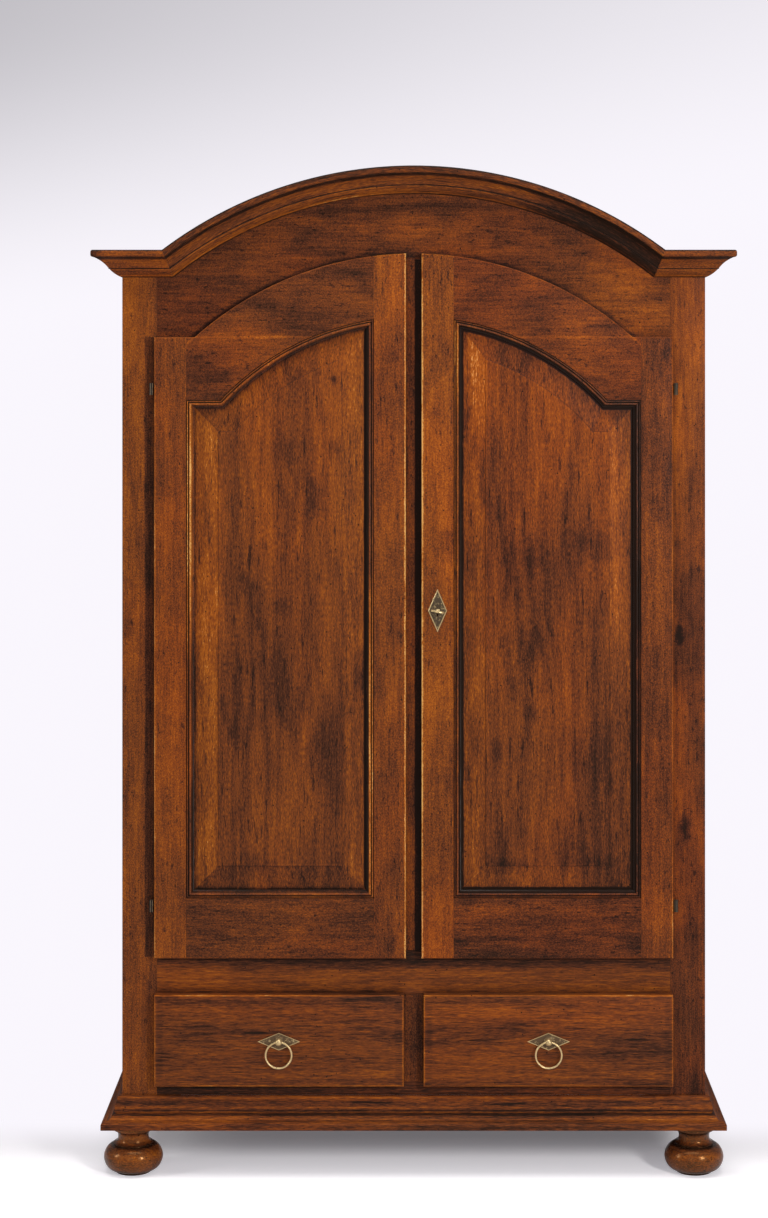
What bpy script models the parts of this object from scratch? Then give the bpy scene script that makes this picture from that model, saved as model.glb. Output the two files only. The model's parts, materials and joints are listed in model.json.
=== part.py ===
"""Wardrobe with two arched doors, two drawers, a moulded cornice and turned feet.

Metres, +Z up. The floor is at Z = 0, the front looks towards -Y and X = 0 lies between
the doors. Every arched line is concentric: the door tops, the frieze, the cornice, the
roof and the panels are offsets of one line, the top edge of the doors.
"""

import math

import bmesh
import bpy
from mathutils import Matrix, Vector

# Fits and fineness
FIT = 0.0003                    # gap between pieces that seat on each other
OVERRUN = 0.004                 # how far a cutter or a joining body runs past a face
WELD = 0.00001                  # points closer than this are one point
ARCH_STEPS = 30                 # facets of a whole arch
ROUND_SIDES = 20                # facets of a turned foot
PIN_SIDES = 16                  # facets of pins, stems and knuckles
ROUND_PROFILE = 0.5             # shape of a rounded edge, a quarter circle
FLAT_ANGLE = 0.1                # faces nearer than this to one plane are one face, degrees

# Case
CASE_WIDTH = 1.240
CASE_DEPTH = 0.560
POST_WIDTH = 0.074
POST_DEPTH = 0.045
REAR_POST_WIDTH = 0.050
REAR_POST_DEPTH = 0.088
FRAME_THICKNESS = 0.025         # frieze, sill rail and drawer divider
SIDE_THICKNESS = 0.018
BACK_THICKNESS = 0.010
BACK_SETBACK = 0.006            # back panel in from the rear faces of the posts
ROOF_THICKNESS = 0.012
FLOOR_THICKNESS = 0.018
BASE_BOARD_THICKNESS = 0.028
HOUSING_DEPTH = 0.008           # how deep a tongue stands in its groove
HOUSING_TONGUE = 0.008          # thickness of the side panel's tongues
TENON_LENGTH = 0.030
TENON_THICKNESS = 0.008
TENON_SHOULDER = 0.012          # rail left above and below a tenon
POST_ROUNDING = 0.002

# Heights of the front, from the floor up
FOOT_HEIGHT = 0.102
BASE_HEIGHT = 0.064
DRAWER_OPENING_HEIGHT = 0.186
SILL_HEIGHT = 0.093
DOOR_EDGE_LENGTH = 1.3165       # outer edge of a door, bottom to shoulder
FRIEZE_WIDTH = 0.127            # from the door tops to the cornice
CORNICE_HEIGHT = 0.057
CORNICE_PROJECTION = 0.060
BASE_PROJECTION = 0.041

# Arch of the door tops
ARCH_RISE = 0.1775              # of the line between the frieze and the cornice
ARCH_END_WIDTH = 0.1096         # level end of that line, over each post

# Doors
DOOR_THICKNESS = 0.022
FRONT_GAP = 0.002               # doors and drawer fronts stand this far off the frame
DOOR_OVERLAY = 0.012            # door over the sill, the frieze and the centre post
SIDE_OVERLAY = 0.004            # doors and drawer fronts over the corner posts
DOOR_SPACING = 0.033            # between the two doors
CENTER_POST_DEPTH = 0.030
STILE_WIDTH = 0.068
TOP_RAIL_WIDTH = 0.133
BOTTOM_RAIL_WIDTH = 0.128
DOOR_ROUNDING = 0.004
DOOR_TENON_THICKNESS = 0.006
GROOVE_SETBACK = 0.004          # panel groove in from the back of the door
TONGUE_THICKNESS = 0.006        # edge of the panel, in the groove
PANEL_BEVEL_WIDTH = 0.052
PANEL_BEVEL_RISE = 0.0045
PANEL_FIELD_STEP = 0.0018
BEAD_WIDTH = 0.016
BEAD_ROLL_WIDTH = 0.0075
BEAD_QUIRK_WIDTH = 0.002
BEAD_QUIRK_DEPTH = 0.0035       # quirk below the face of the door
BEAD_ROLL_DEPTH = 0.0005        # crown of the roll below the face of the door
BEAD_TOE_HEIGHT = 0.0015

# Hinges
HINGE_INSET = 0.110             # hinge centre in from the door's bottom and its shoulder
HINGE_OFFSET = 0.006            # axis out from the door's edge
KNUCKLE_RADIUS = 0.005
KNUCKLE_LENGTH = 0.0122
HINGE_STEM_RADIUS = 0.003
HINGE_STEM_DEPTH = 0.018        # stem in the wood
HINGE_PIN_RADIUS = 0.0025
HINGE_CAP = 0.0015              # metal left above the pin

# Lock, key and turn button
KEY_HEIGHT = 1.1985
KEY_INSET = 0.034               # keyhole in from the door's inner edge
KEY_SHANK_RADIUS = 0.003
KEY_PROJECTION = 0.034          # bow's end out from the face of the door
KEY_BOW_HALF_WIDTH = 0.016
KEY_BOW_HALF_LENGTH = 0.0105
KEY_BOW_WIRE_RADIUS = 0.0022
KEY_COLLAR_RADIUS = 0.0048
KEY_COLLAR_LENGTH = 0.003
KEY_BIT_REACH = 0.0115
KEY_BIT_LENGTH = 0.007
KEY_BIT_THICKNESS = 0.0025
KEYHOLE_RADIUS = 0.0042
LOCK_CASE_CLEARANCE = 0.0055    # lock case to the centre post
LOCK_CASE_WIDTH = 0.058
LOCK_CASE_BELOW = 0.018         # case below the keyhole
LOCK_CASE_ABOVE = 0.032
LOCK_CASE_DEPTH = 0.018
LOCK_CASE_WALL = 0.0018
BOLT_HEIGHT = 0.012
BOLT_THICKNESS = 0.006
BOLT_LENGTH = 0.044
BOLT_RISE = 0.0185              # bolt centre above the keyhole
BOLT_TRAVEL = 0.014
BUTTON_CLEARANCE = 0.032        # pivot of the turn button to the centre post
BUTTON_BOSS_RADIUS = 0.010
BUTTON_ARM_REACH = 0.048
BUTTON_ARM_HALF_WIDTH = 0.009
BUTTON_ARM_THICKNESS = 0.008

# Escutcheon
ESCUTCHEON_HALF_WIDTH = 0.020
ESCUTCHEON_HALF_HEIGHT = 0.0455
ESCUTCHEON_THICKNESS = 0.0016
ESCUTCHEON_RIM = 0.0008         # rim proud of the plate
ESCUTCHEON_RIM_SHARES = (0.90, 0.86)

# Drawers
DRAWER_SPACING = 0.042          # between the two fronts
DRAWER_OVERLAY = 0.004          # fronts over the divider, the sill and the base board
DRAWER_FRONT_THICKNESS = 0.022
DRAWER_CHAMFER = 0.003
DRAWER_REAR_CLEARANCE = 0.0857  # drawer box to the back panel
DRAWER_BOX_WALL = 0.012
DRAWER_BOTTOM_THICKNESS = 0.008
DRAWER_SIDE_CLEARANCE = 0.002
DRAWER_TOP_CLEARANCE = 0.006
PARTITION_THICKNESS = 0.020
GUIDE_HEIGHT = 0.018

# Drawer pulls
PULL_HALF_WIDTH = 0.045
PULL_HALF_HEIGHT = 0.020
PULL_EDGE_THICKNESS = 0.0010
PULL_CROWN_THICKNESS = 0.0034
PULL_CROWN_SHARE = 0.22
PULL_BALL_RADIUS = 0.0077
PULL_BALL_STANDOFF = 0.0105     # ball centre off the front
PULL_NECK_RADIUS = 0.0038
PULL_SHANK_RADIUS = 0.0025
PULL_EYE_RADIUS = 0.0040        # hole that the ring hangs in
RING_RADIUS = 0.0275            # to the middle of the wire
RING_WIRE_RADIUS = 0.0025

# Feet
FOOT_INSET_X = 0.022            # foot centre in from the side of the case
FOOT_INSET_Y = 0.019            # and in from its front
FOOT_REAR_INSET_Y = 0.064       # keeps the rear feet clear of a wall
FOOT_PAD_RADIUS = 0.044
FOOT_PAD_HEIGHT = 0.012
FOOT_NECK_RADIUS = 0.032
FOOT_NECK_LEVEL = 0.0745
FOOT_BALL_RADIUS = 0.0628
FOOT_BALL_SEAM_RADIUS = 0.042
FOOT_BALL_SEAM_LEVEL = 0.061
FOOT_QUIRK = 0.0012
FOOT_SHOE_RADIUS = 0.0386
FOOT_SHOE_HEIGHT = 0.004
FOOT_DOWEL_RADIUS = 0.011
FOOT_DOWEL_LENGTH = 0.022

# Inside fittings
SHELF_DROP = 0.0775             # top of the hat shelf below the door shoulders
SHELF_THICKNESS = 0.018
SHELF_SETBACK = 0.012           # shelf behind the front posts
BEARER_HEIGHT = 0.024
BEARER_WIDTH = 0.020
BEARER_SETBACK = 0.010          # ends of the bearers in from the posts
HANGING_RAIL_RADIUS = 0.0125
HANGING_RAIL_DROP = 0.070       # rail's axis below the top of the shelf
RAIL_SOCKET_HALF = 0.024
RAIL_SOCKET_THICKNESS = 0.018

# Lines that follow from the sizes
HALF_WIDTH = CASE_WIDTH / 2
FRONT = -(CASE_DEPTH - CORNICE_PROJECTION) / 2
BACK = FRONT + CASE_DEPTH
POST_INNER = HALF_WIDTH - POST_WIDTH
POST_BACK = FRONT + POST_DEPTH
REAR_POST_INNER = HALF_WIDTH - REAR_POST_WIDTH
REAR_POST_FRONT = BACK - REAR_POST_DEPTH
SIDE_INNER = HALF_WIDTH - SIDE_THICKNESS
FRAME_BACK = FRONT + FRAME_THICKNESS
BACK_FACE = BACK - BACK_SETBACK - BACK_THICKNESS
BASE_TOP = FOOT_HEIGHT + BASE_HEIGHT
BOARD_TOP = BASE_TOP + BASE_BOARD_THICKNESS
SILL_BOTTOM = BOARD_TOP + DRAWER_OPENING_HEIGHT
SILL_TOP = SILL_BOTTOM + SILL_HEIGHT
DOOR_BOTTOM = SILL_TOP - DOOR_OVERLAY
DOOR_SHOULDER = DOOR_BOTTOM + DOOR_EDGE_LENGTH
ARCH_HALF_SPAN = HALF_WIDTH - ARCH_END_WIDTH
FRIEZE_ARCH_RADIUS = (ARCH_HALF_SPAN ** 2 + ARCH_RISE ** 2) / (2 * ARCH_RISE)
DOOR_ARCH_RADIUS = FRIEZE_ARCH_RADIUS - FRIEZE_WIDTH
ARCH_CENTER = DOOR_SHOULDER + FRIEZE_WIDTH + ARCH_RISE - FRIEZE_ARCH_RADIUS
DOOR_OUTER = POST_INNER + SIDE_OVERLAY
DOOR_INNER = DOOR_SPACING / 2
DOOR_BACK = FRONT - FRONT_GAP
DOOR_FACE = DOOR_BACK - DOOR_THICKNESS
CENTER_POST_HALF = DOOR_INNER + DOOR_OVERLAY
CENTER_POST_BACK = FRONT + CENTER_POST_DEPTH
TOP_OFFSET = FRIEZE_WIDTH + CORNICE_HEIGHT
ROOF_OFFSET = TOP_OFFSET - ROOF_THICKNESS
HINGE_X = DOOR_OUTER + HINGE_OFFSET
HINGE_Y = DOOR_BACK - DOOR_THICKNESS / 2
HINGE_LEVELS = (DOOR_BOTTOM + HINGE_INSET, DOOR_SHOULDER - HINGE_INSET)
KEY_X = DOOR_INNER + KEY_INSET
BUTTON_X = CENTER_POST_HALF + BUTTON_CLEARANCE
DRAWER_INNER = DRAWER_SPACING / 2
DRAWER_OUTER = DOOR_OUTER
DIVIDER_HALF = DRAWER_INNER + DRAWER_OVERLAY
DRAWER_BOTTOM = BOARD_TOP - DRAWER_OVERLAY
DRAWER_TOP = SILL_BOTTOM + DRAWER_OVERLAY
DRAWER_BACK = FRONT - FRONT_GAP
DRAWER_FACE = DRAWER_BACK - DRAWER_FRONT_THICKNESS
PULL_X = (DRAWER_INNER + DRAWER_OUTER) / 2
PULL_Z = (DRAWER_BOTTOM + DRAWER_TOP) / 2
PULL_Y = DRAWER_FACE - PULL_BALL_STANDOFF
SHELF_LEVEL = DOOR_SHOULDER - SHELF_DROP
RAIL_LEVEL = SHELF_LEVEL - HANGING_RAIL_DROP
RAIL_Y = (FRONT + BACK) / 2
DOOR_HALF_STEPS = ARCH_STEPS // 2

SIDES = {"left": -1, "right": 1}

# Planes that outlines are drawn in: across the front, in plan, and in section
FRONT_PLANE = Matrix(((1, 0, 0, 0), (0, 0, -1, 0), (0, 1, 0, 0), (0, 0, 0, 1)))
PLAN_PLANE = Matrix.Identity(4)
SECTION_PLANE = Matrix(((0, 0, 1, 0), (1, 0, 0, 0), (0, 1, 0, 0), (0, 0, 0, 1)))


def start_scene():
    """Empty the scene and make one collection for the pieces and one for their cutters."""
    for item in list(bpy.data.objects):
        bpy.data.objects.remove(item, do_unlink=True)
    pieces = bpy.data.collections.new("wardrobe")
    cutters = bpy.data.collections.new("cutters")
    for group in (pieces, cutters):
        bpy.context.scene.collection.children.link(group)
    return pieces, cutters


PIECES, CUTTERS = start_scene()


def make_material(name, color, roughness, metallic=0.0):
    material = bpy.data.materials.new(name)
    material.use_nodes = True
    shader = material.node_tree.nodes["Principled BSDF"]
    shader.inputs["Base Color"].default_value = (*color, 1.0)
    shader.inputs["Roughness"].default_value = roughness
    shader.inputs["Metallic"].default_value = metallic
    return material


WALNUT = make_material("walnut_stain", (0.175, 0.052, 0.014), 0.42)
INNER_WOOD = make_material("inner_wood", (0.32, 0.16, 0.065), 0.60)
BRASS = make_material("aged_brass", (0.52, 0.38, 0.16), 0.34, 1.0)
IRON = make_material("dark_iron", (0.06, 0.05, 0.045), 0.45, 1.0)


# Solids

def face_outwards(bm):
    bm.normal_update()
    bmesh.ops.recalc_face_normals(bm, faces=bm.faces)


def make_piece(name, bm):
    """Turn a mesh under construction into an object among the pieces."""
    face_outwards(bm)
    mesh = bpy.data.meshes.new(name)
    bm.to_mesh(mesh)
    bm.free()
    piece = bpy.data.objects.new(name, mesh)
    PIECES.objects.link(piece)
    return piece


def box(name, low, high):
    """A block between two corners; the X pair may come in either order."""
    low = Vector(low)
    high = Vector(high)
    size = high - low
    bm = bmesh.new()
    bmesh.ops.create_cube(bm, size=1.0)
    bmesh.ops.scale(bm, vec=(abs(size.x), abs(size.y), abs(size.z)), verts=bm.verts)
    bmesh.ops.translate(bm, vec=(low + high) / 2, verts=bm.verts)
    return make_piece(name, bm)


def rod(name, start, end, radius, sides=PIN_SIDES):
    """A round bar between two points."""
    start = Vector(start)
    end = Vector(end)
    run = end - start
    bm = bmesh.new()
    bmesh.ops.create_cone(
        bm, cap_ends=True, segments=sides, radius1=radius, radius2=radius, depth=run.length
    )
    turn = run.to_track_quat("Z", "Y").to_matrix().to_4x4()
    bm.transform(Matrix.Translation((start + end) / 2) @ turn)
    return make_piece(name, bm)


def extruded(name, outline, plane, low, high):
    """A flat outline, drawn as a filled curve in a plane and given thickness across it."""
    curve = bpy.data.curves.new(name, "CURVE")
    curve.dimensions = "2D"
    curve.fill_mode = "BOTH"
    curve.extrude = (high - low) / 2
    spline = curve.splines.new("POLY")
    spline.points.add(len(outline) - 1)
    for point, (u, v) in zip(spline.points, outline):
        point.co = (u, v, 0, 1)
    spline.use_cyclic_u = True
    drawn = bpy.data.objects.new(name, curve)
    PIECES.objects.link(drawn)
    facing = -1 if plane is FRONT_PLANE else 1
    drawn.matrix_world = plane @ Matrix.Translation((0, 0, facing * (low + high) / 2))
    bpy.context.view_layer.update()
    seen = drawn.evaluated_get(bpy.context.evaluated_depsgraph_get())
    mesh = bpy.data.meshes.new_from_object(seen)
    bm = bmesh.new()
    bm.from_mesh(mesh)
    bm.transform(drawn.matrix_world)
    bpy.data.meshes.remove(mesh)
    bpy.data.objects.remove(drawn)
    bpy.data.curves.remove(curve)
    bmesh.ops.remove_doubles(bm, verts=bm.verts, dist=WELD)
    flat = math.radians(FLAT_ANGLE)
    bmesh.ops.dissolve_limit(bm, angle_limit=flat, verts=bm.verts, edges=bm.edges)
    return make_piece(name, bm)


def lofted(name, sections, ring=False):
    """Skin a row of sections of equal point counts; a ring closes on itself, else it is capped."""
    bm = bmesh.new()
    rows = []
    for section in sections:
        rows.append([bm.verts.new(point) for point in section])
    pairs = list(zip(rows, rows[1:]))
    if ring:
        pairs.append((rows[-1], rows[0]))
    count = len(rows[0])
    for lower, upper in pairs:
        for index in range(count):
            after = (index + 1) % count
            bm.faces.new((lower[index], lower[after], upper[after], upper[index]))
    if not ring:
        bm.faces.new(rows[0])
        bm.faces.new(rows[-1])
    return make_piece(name, bm)


def edit(piece):
    bm = bmesh.new()
    bm.from_mesh(piece.data)
    return bm


def keep(piece, bm):
    face_outwards(bm)
    bm.to_mesh(piece.data)
    bm.free()
    return piece


def trim(piece, point, outward, cap=True):
    """Cut away what lies beyond a plane; the cut is capped, or left open to be welded."""
    bm = edit(piece)
    cut = bmesh.ops.bisect_plane(
        bm,
        geom=bm.verts[:] + bm.edges[:] + bm.faces[:],
        plane_co=point,
        plane_no=outward,
        clear_outer=True,
        dist=WELD,
    )
    if cap:
        rim = [part for part in cut["geom_cut"] if isinstance(part, bmesh.types.BMEdge)]
        bmesh.ops.holes_fill(bm, edges=rim, sides=0)
    return keep(piece, bm)


def weld_together(piece, other):
    """Join two bodies whose open ends meet point for point."""
    bm = edit(piece)
    bm.from_mesh(other.data)
    bmesh.ops.remove_doubles(bm, verts=bm.verts, dist=WELD)
    bpy.data.objects.remove(other)
    return keep(piece, bm)


def round_edges(piece, picks, width, segments=3):
    """Round the edges whose two ends and middle all pass a test."""
    bm = edit(piece)
    chosen = []
    for edge in bm.edges:
        ends = [vert.co for vert in edge.verts]
        if all(picks(point) for point in (*ends, (ends[0] + ends[1]) / 2)):
            chosen.append(edge)
    bmesh.ops.bevel(
        bm, geom=chosen, offset=width, segments=segments, profile=ROUND_PROFILE, affect="EDGES",
        clamp_overlap=True,
    )
    return keep(piece, bm)


def combine(piece, tool, operation):
    """Join a body to a piece or cut it out; the tool stays, hidden, with the cutters."""
    step = piece.modifiers.new(tool.name, "BOOLEAN")
    step.operation = operation
    step.object = tool
    PIECES.objects.unlink(tool)
    CUTTERS.objects.link(tool)
    tool.hide_render = True
    tool.display_type = "WIRE"
    tool.parent = piece
    return piece


def join(piece, tool):
    return combine(piece, tool, "UNION")


def cut(piece, tool):
    return combine(piece, tool, "DIFFERENCE")


def smooth(piece, angle=35):
    piece.data.shade_smooth()
    piece.data.set_sharp_from_angle(angle=math.radians(angle))
    return piece


def finish(piece, material, origin, parent=None):
    """Give a piece its material, and its origin and parent without moving its shape."""
    origin = Vector(origin)
    piece.data.materials.append(material)
    piece.data.transform(Matrix.Translation(-origin))
    for tool in piece.children:
        tool.location -= origin
    piece.location = origin
    if parent:
        piece.parent = parent
        piece.location = origin - parent.location
    return piece


def axis_empty(name, place):
    empty = bpy.data.objects.new(name, None)
    PIECES.objects.link(empty)
    empty.location = place
    return empty


def stub_joint(rail, post, side, x, reach, thickness, y_middle, z_low, z_high):
    """A tenon on the end of a rail and the mortise for it in the post beside it.

    x is where rail and post meet, and side says which way the tenon points.
    """
    half = thickness / 2
    tenon = box(
        rail.name + "_tenon",
        (x - side * OVERRUN, y_middle - half, z_low),
        (x + side * reach, y_middle + half, z_high),
    )
    mortise = box(
        post.name + "_mortise",
        (x - side * OVERRUN, y_middle - half - FIT, z_low - FIT),
        (x + side * (reach + FIT), y_middle + half + FIT, z_high + FIT),
    )
    join(rail, tenon)
    cut(post, mortise)


# Outlines

def arch_radius(offset):
    return DOOR_ARCH_RADIUS + offset


def shoulder_level(offset):
    return DOOR_SHOULDER + offset


def arch_half_width(offset):
    """Where the arched line at an offset from the door tops meets its level shoulder."""
    rise = shoulder_level(offset) - ARCH_CENTER
    return math.sqrt(arch_radius(offset) ** 2 - rise ** 2)


def arch_level(x, offset):
    if abs(x) > arch_half_width(offset):
        return shoulder_level(offset)
    return ARCH_CENTER + math.sqrt(arch_radius(offset) ** 2 - x ** 2)


def arched_line(offset, start, end, steps=ARCH_STEPS):
    """Points from one x to a larger one, along the arch and its level shoulders."""
    radius = arch_radius(offset)
    corner = arch_half_width(offset)
    first = math.asin(max(start, -corner) / radius)
    last = math.asin(min(end, corner) / radius)
    points = []
    if start < -corner:
        points.append((start, shoulder_level(offset)))
    for step in range(steps + 1):
        angle = first + (last - first) * step / steps
        points.append((radius * math.sin(angle), ARCH_CENTER + radius * math.cos(angle)))
    if end > corner:
        points.append((end, shoulder_level(offset)))
    return points


def quarter(start, end, corner, steps=4):
    """Points after start on the quarter ellipse that leaves it towards the corner."""
    points = []
    for step in range(1, steps + 1):
        turn = math.pi / 2 * step / steps
        points.append(tuple(
            a + (c - a) * math.sin(turn) + (b - c) * (1 - math.cos(turn))
            for a, b, c in zip(start, end, corner)
        ))
    return points


def scaled(shares, width, height):
    return [(u * width, v * height) for u, v in shares]


# Sections of the mouldings, as shares of their projection and height, bottom to top
CORNICE_OGEE_SHARES = ((0.0, 0.0), (0.16, 0.09), (0.34, 0.21))
CORNICE_COVE_SHARES = ((0.39, 0.27), (0.86, 0.71))
CORNICE_NOSE_SHARES = ((0.86, 0.74), (0.94, 0.74), (1.0, 0.81), (1.0, 0.93), (0.96, 1.0))
BASE_FILLET_SHARES = ((0.0, 0.0), (1.0, 0.0), (1.0, 0.19), (0.92, 0.225))
BASE_COVE_SHARES = ((0.89, 0.24), (0.50, 0.38))
BASE_QUIRK_SHARES = ((0.46, 0.42), (0.30, 0.435), (0.30, 0.49))
BASE_OVOLO_SHARES = ((0.38, 0.50), (0.36, 0.62), (0.27, 0.83))
BASE_TOP_SHARES = ((0.22, 0.85), (0.22, 0.95), (0.18, 1.0), (0.0, 1.0))


def cornice_section():
    """Ogee, fillet, cove and rounded nose, as (projection, height)."""
    (foot, turn, head) = CORNICE_OGEE_SHARES
    points = [foot]
    points += quarter(foot, turn, (foot[0], turn[1]), 2)
    points += quarter(turn, head, (head[0], turn[1]), 3)
    (cove_foot, cove_head) = CORNICE_COVE_SHARES
    points += [(cove_foot[0], head[1]), cove_foot]
    points += quarter(cove_foot, cove_head, (cove_foot[0], cove_head[1]), 5)
    points += CORNICE_NOSE_SHARES
    points.append((0.0, 1.0))
    return scaled(points, CORNICE_PROJECTION, CORNICE_HEIGHT)


def base_section():
    """Fillet, cove, quirk and ovolo, as (projection, height)."""
    points = list(BASE_FILLET_SHARES)
    (cove_foot, cove_head) = BASE_COVE_SHARES
    points.append(cove_foot)
    points += quarter(cove_foot, cove_head, (cove_head[0], cove_foot[1]), 4)
    points += BASE_QUIRK_SHARES
    (ovolo_foot, ovolo_turn, ovolo_head) = BASE_OVOLO_SHARES
    points.append(ovolo_foot)
    points += quarter(ovolo_foot, ovolo_head, (ovolo_foot[0], ovolo_turn[1]), 4)
    points += BASE_TOP_SHARES
    return scaled(points, BASE_PROJECTION, BASE_HEIGHT)


def front_run(name, section, level, x_low, x_high):
    """A moulding across the front of the case."""
    outline = [(FRONT - FIT - out, level + up) for out, up in section]
    return extruded(name, outline, SECTION_PLANE, x_low, x_high)


def side_run(name, section, level, side, y_low, y_high):
    """A moulding along one side of the case."""
    outline = [(side * (HALF_WIDTH + FIT + out), level + up) for out, up in section]
    return extruded(name, outline, FRONT_PLANE, y_low, y_high)


def corner_plane(side, shift):
    """The mitre at a front corner, shifted outwards; beyond it lies the side run."""
    outward = Vector((side, 1, 0)).normalized()
    corner = Vector((side * (HALF_WIDTH + FIT), FRONT - FIT, 0))
    return corner + outward * shift, outward


def arch_mitre_plane(side, shift):
    """The mitre where the arched cornice meets its straight end; outwards is the end."""
    low = Vector((side * arch_half_width(FRIEZE_WIDTH), 0, shoulder_level(FRIEZE_WIDTH)))
    high = Vector((side * arch_half_width(TOP_OFFSET), 0, shoulder_level(TOP_OFFSET)))
    seam = (high - low).normalized()
    outward = Vector((side * abs(seam.z), 0, -abs(seam.x)))
    return low + outward * shift, outward


# Feet and base

def foot_section():
    """The turned foot, from the tip of its dowel down to its shoe, as (radius, height)."""
    top = FOOT_HEIGHT - FIT
    pad_foot = (FOOT_PAD_RADIUS, top - FOOT_PAD_HEIGHT)
    neck = (FOOT_NECK_RADIUS, FOOT_NECK_LEVEL)
    seam = (FOOT_BALL_SEAM_RADIUS, FOOT_BALL_SEAM_LEVEL)
    shoe = (FOOT_SHOE_RADIUS, FOOT_SHOE_HEIGHT)
    points = [(0, top + FOOT_DOWEL_LENGTH), (FOOT_DOWEL_RADIUS, top + FOOT_DOWEL_LENGTH)]
    points += [(FOOT_DOWEL_RADIUS, top), (FOOT_PAD_RADIUS, top), pad_foot]
    points += quarter(pad_foot, neck, (neck[0], pad_foot[1]), 4)
    points += quarter(neck, seam, (neck[0], seam[1] + FOOT_QUIRK), 4)
    points.append((seam[0] - FOOT_QUIRK, seam[1]))
    middle = (seam[1] + shoe[1]) / 2
    widest = (FOOT_BALL_RADIUS, middle)
    points += quarter(seam, widest, (widest[0], seam[1]), 5)
    points += quarter(widest, (seam[0], shoe[1]), (widest[0], shoe[1]), 5)
    points += [shoe, (shoe[0], 0), (0, 0)]
    return points


def make_foot_mesh():
    """The foot's section, turned about its own axis by a screw of one whole turn."""
    section = foot_section()
    bm = bmesh.new()
    verts = [bm.verts.new((radius, 0, level)) for radius, level in section]
    for upper, lower in zip(verts, verts[1:]):
        bm.edges.new((upper, lower))
    mesh = bpy.data.meshes.new("foot")
    bm.to_mesh(mesh)
    bm.free()
    mesh.materials.append(WALNUT)
    return mesh


FOOT_MESH = make_foot_mesh()


def make_foot(name, x, y):
    foot = bpy.data.objects.new(name, FOOT_MESH)
    PIECES.objects.link(foot)
    foot.location = (x, y, 0)
    turning = foot.modifiers.new("turning", "SCREW")
    turning.steps = ROUND_SIDES
    turning.render_steps = ROUND_SIDES
    turning.use_merge_vertices = True
    turning.merge_threshold = WELD
    turning.use_smooth_shade = True
    return foot


def dowel_bore(post, x, y):
    """The hole in a post's lower end that the foot's dowel stands in."""
    bore = rod(
        post.name + "_bore",
        (x, y, FOOT_HEIGHT - OVERRUN),
        (x, y, FOOT_HEIGHT + FOOT_DOWEL_LENGTH + FIT),
        FOOT_DOWEL_RADIUS + FIT,
        ROUND_SIDES,
    )
    cut(post, bore)


def make_base():
    """Plinth mouldings round three sides, and the base board that the drawers run on."""
    section = base_section()
    reach = HALF_WIDTH + BASE_PROJECTION + OVERRUN
    front = front_run("base_moulding_front", section, FOOT_HEIGHT, -reach, reach)
    for side in SIDES.values():
        point, outward = corner_plane(side, -FIT / 2)
        trim(front, point, outward)
    plinth_rail = box(
        "plinth_rail",
        (-(POST_INNER - FIT), FRONT - FIT - BASE_PROJECTION / 4, FOOT_HEIGHT),
        (POST_INNER - FIT, FRAME_BACK, BASE_TOP - FIT),
    )
    join(front, plinth_rail)
    finish(front, WALNUT, (0, FRONT, FOOT_HEIGHT))
    for word, side in SIDES.items():
        run = side_run("base_moulding_" + word, section, FOOT_HEIGHT, side, FRONT - reach, BACK)
        point, outward = corner_plane(side, FIT / 2)
        trim(run, point, -outward)
        finish(run, WALNUT, (side * HALF_WIDTH, FRONT, FOOT_HEIGHT))
    board = extruded(
        "base_board", shelf_outline(FRONT, POST_BACK), PLAN_PLANE, BASE_TOP, BOARD_TOP
    )
    finish(board, INNER_WOOD, (0, FRONT, BASE_TOP))


def shelf_outline(front_edge, notch_back):
    """A board as deep as the case, notched round the four posts."""
    wide = SIDE_INNER - FIT
    narrow = POST_INNER - FIT
    rear = REAR_POST_INNER - FIT
    right = [
        (narrow, front_edge),
        (narrow, notch_back + FIT),
        (wide, notch_back + FIT),
        (wide, REAR_POST_FRONT - FIT),
        (rear, REAR_POST_FRONT - FIT),
        (rear, BACK_FACE - FIT),
    ]
    left = [(-x, y) for x, y in reversed(right)]
    return right + left


# Case

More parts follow.
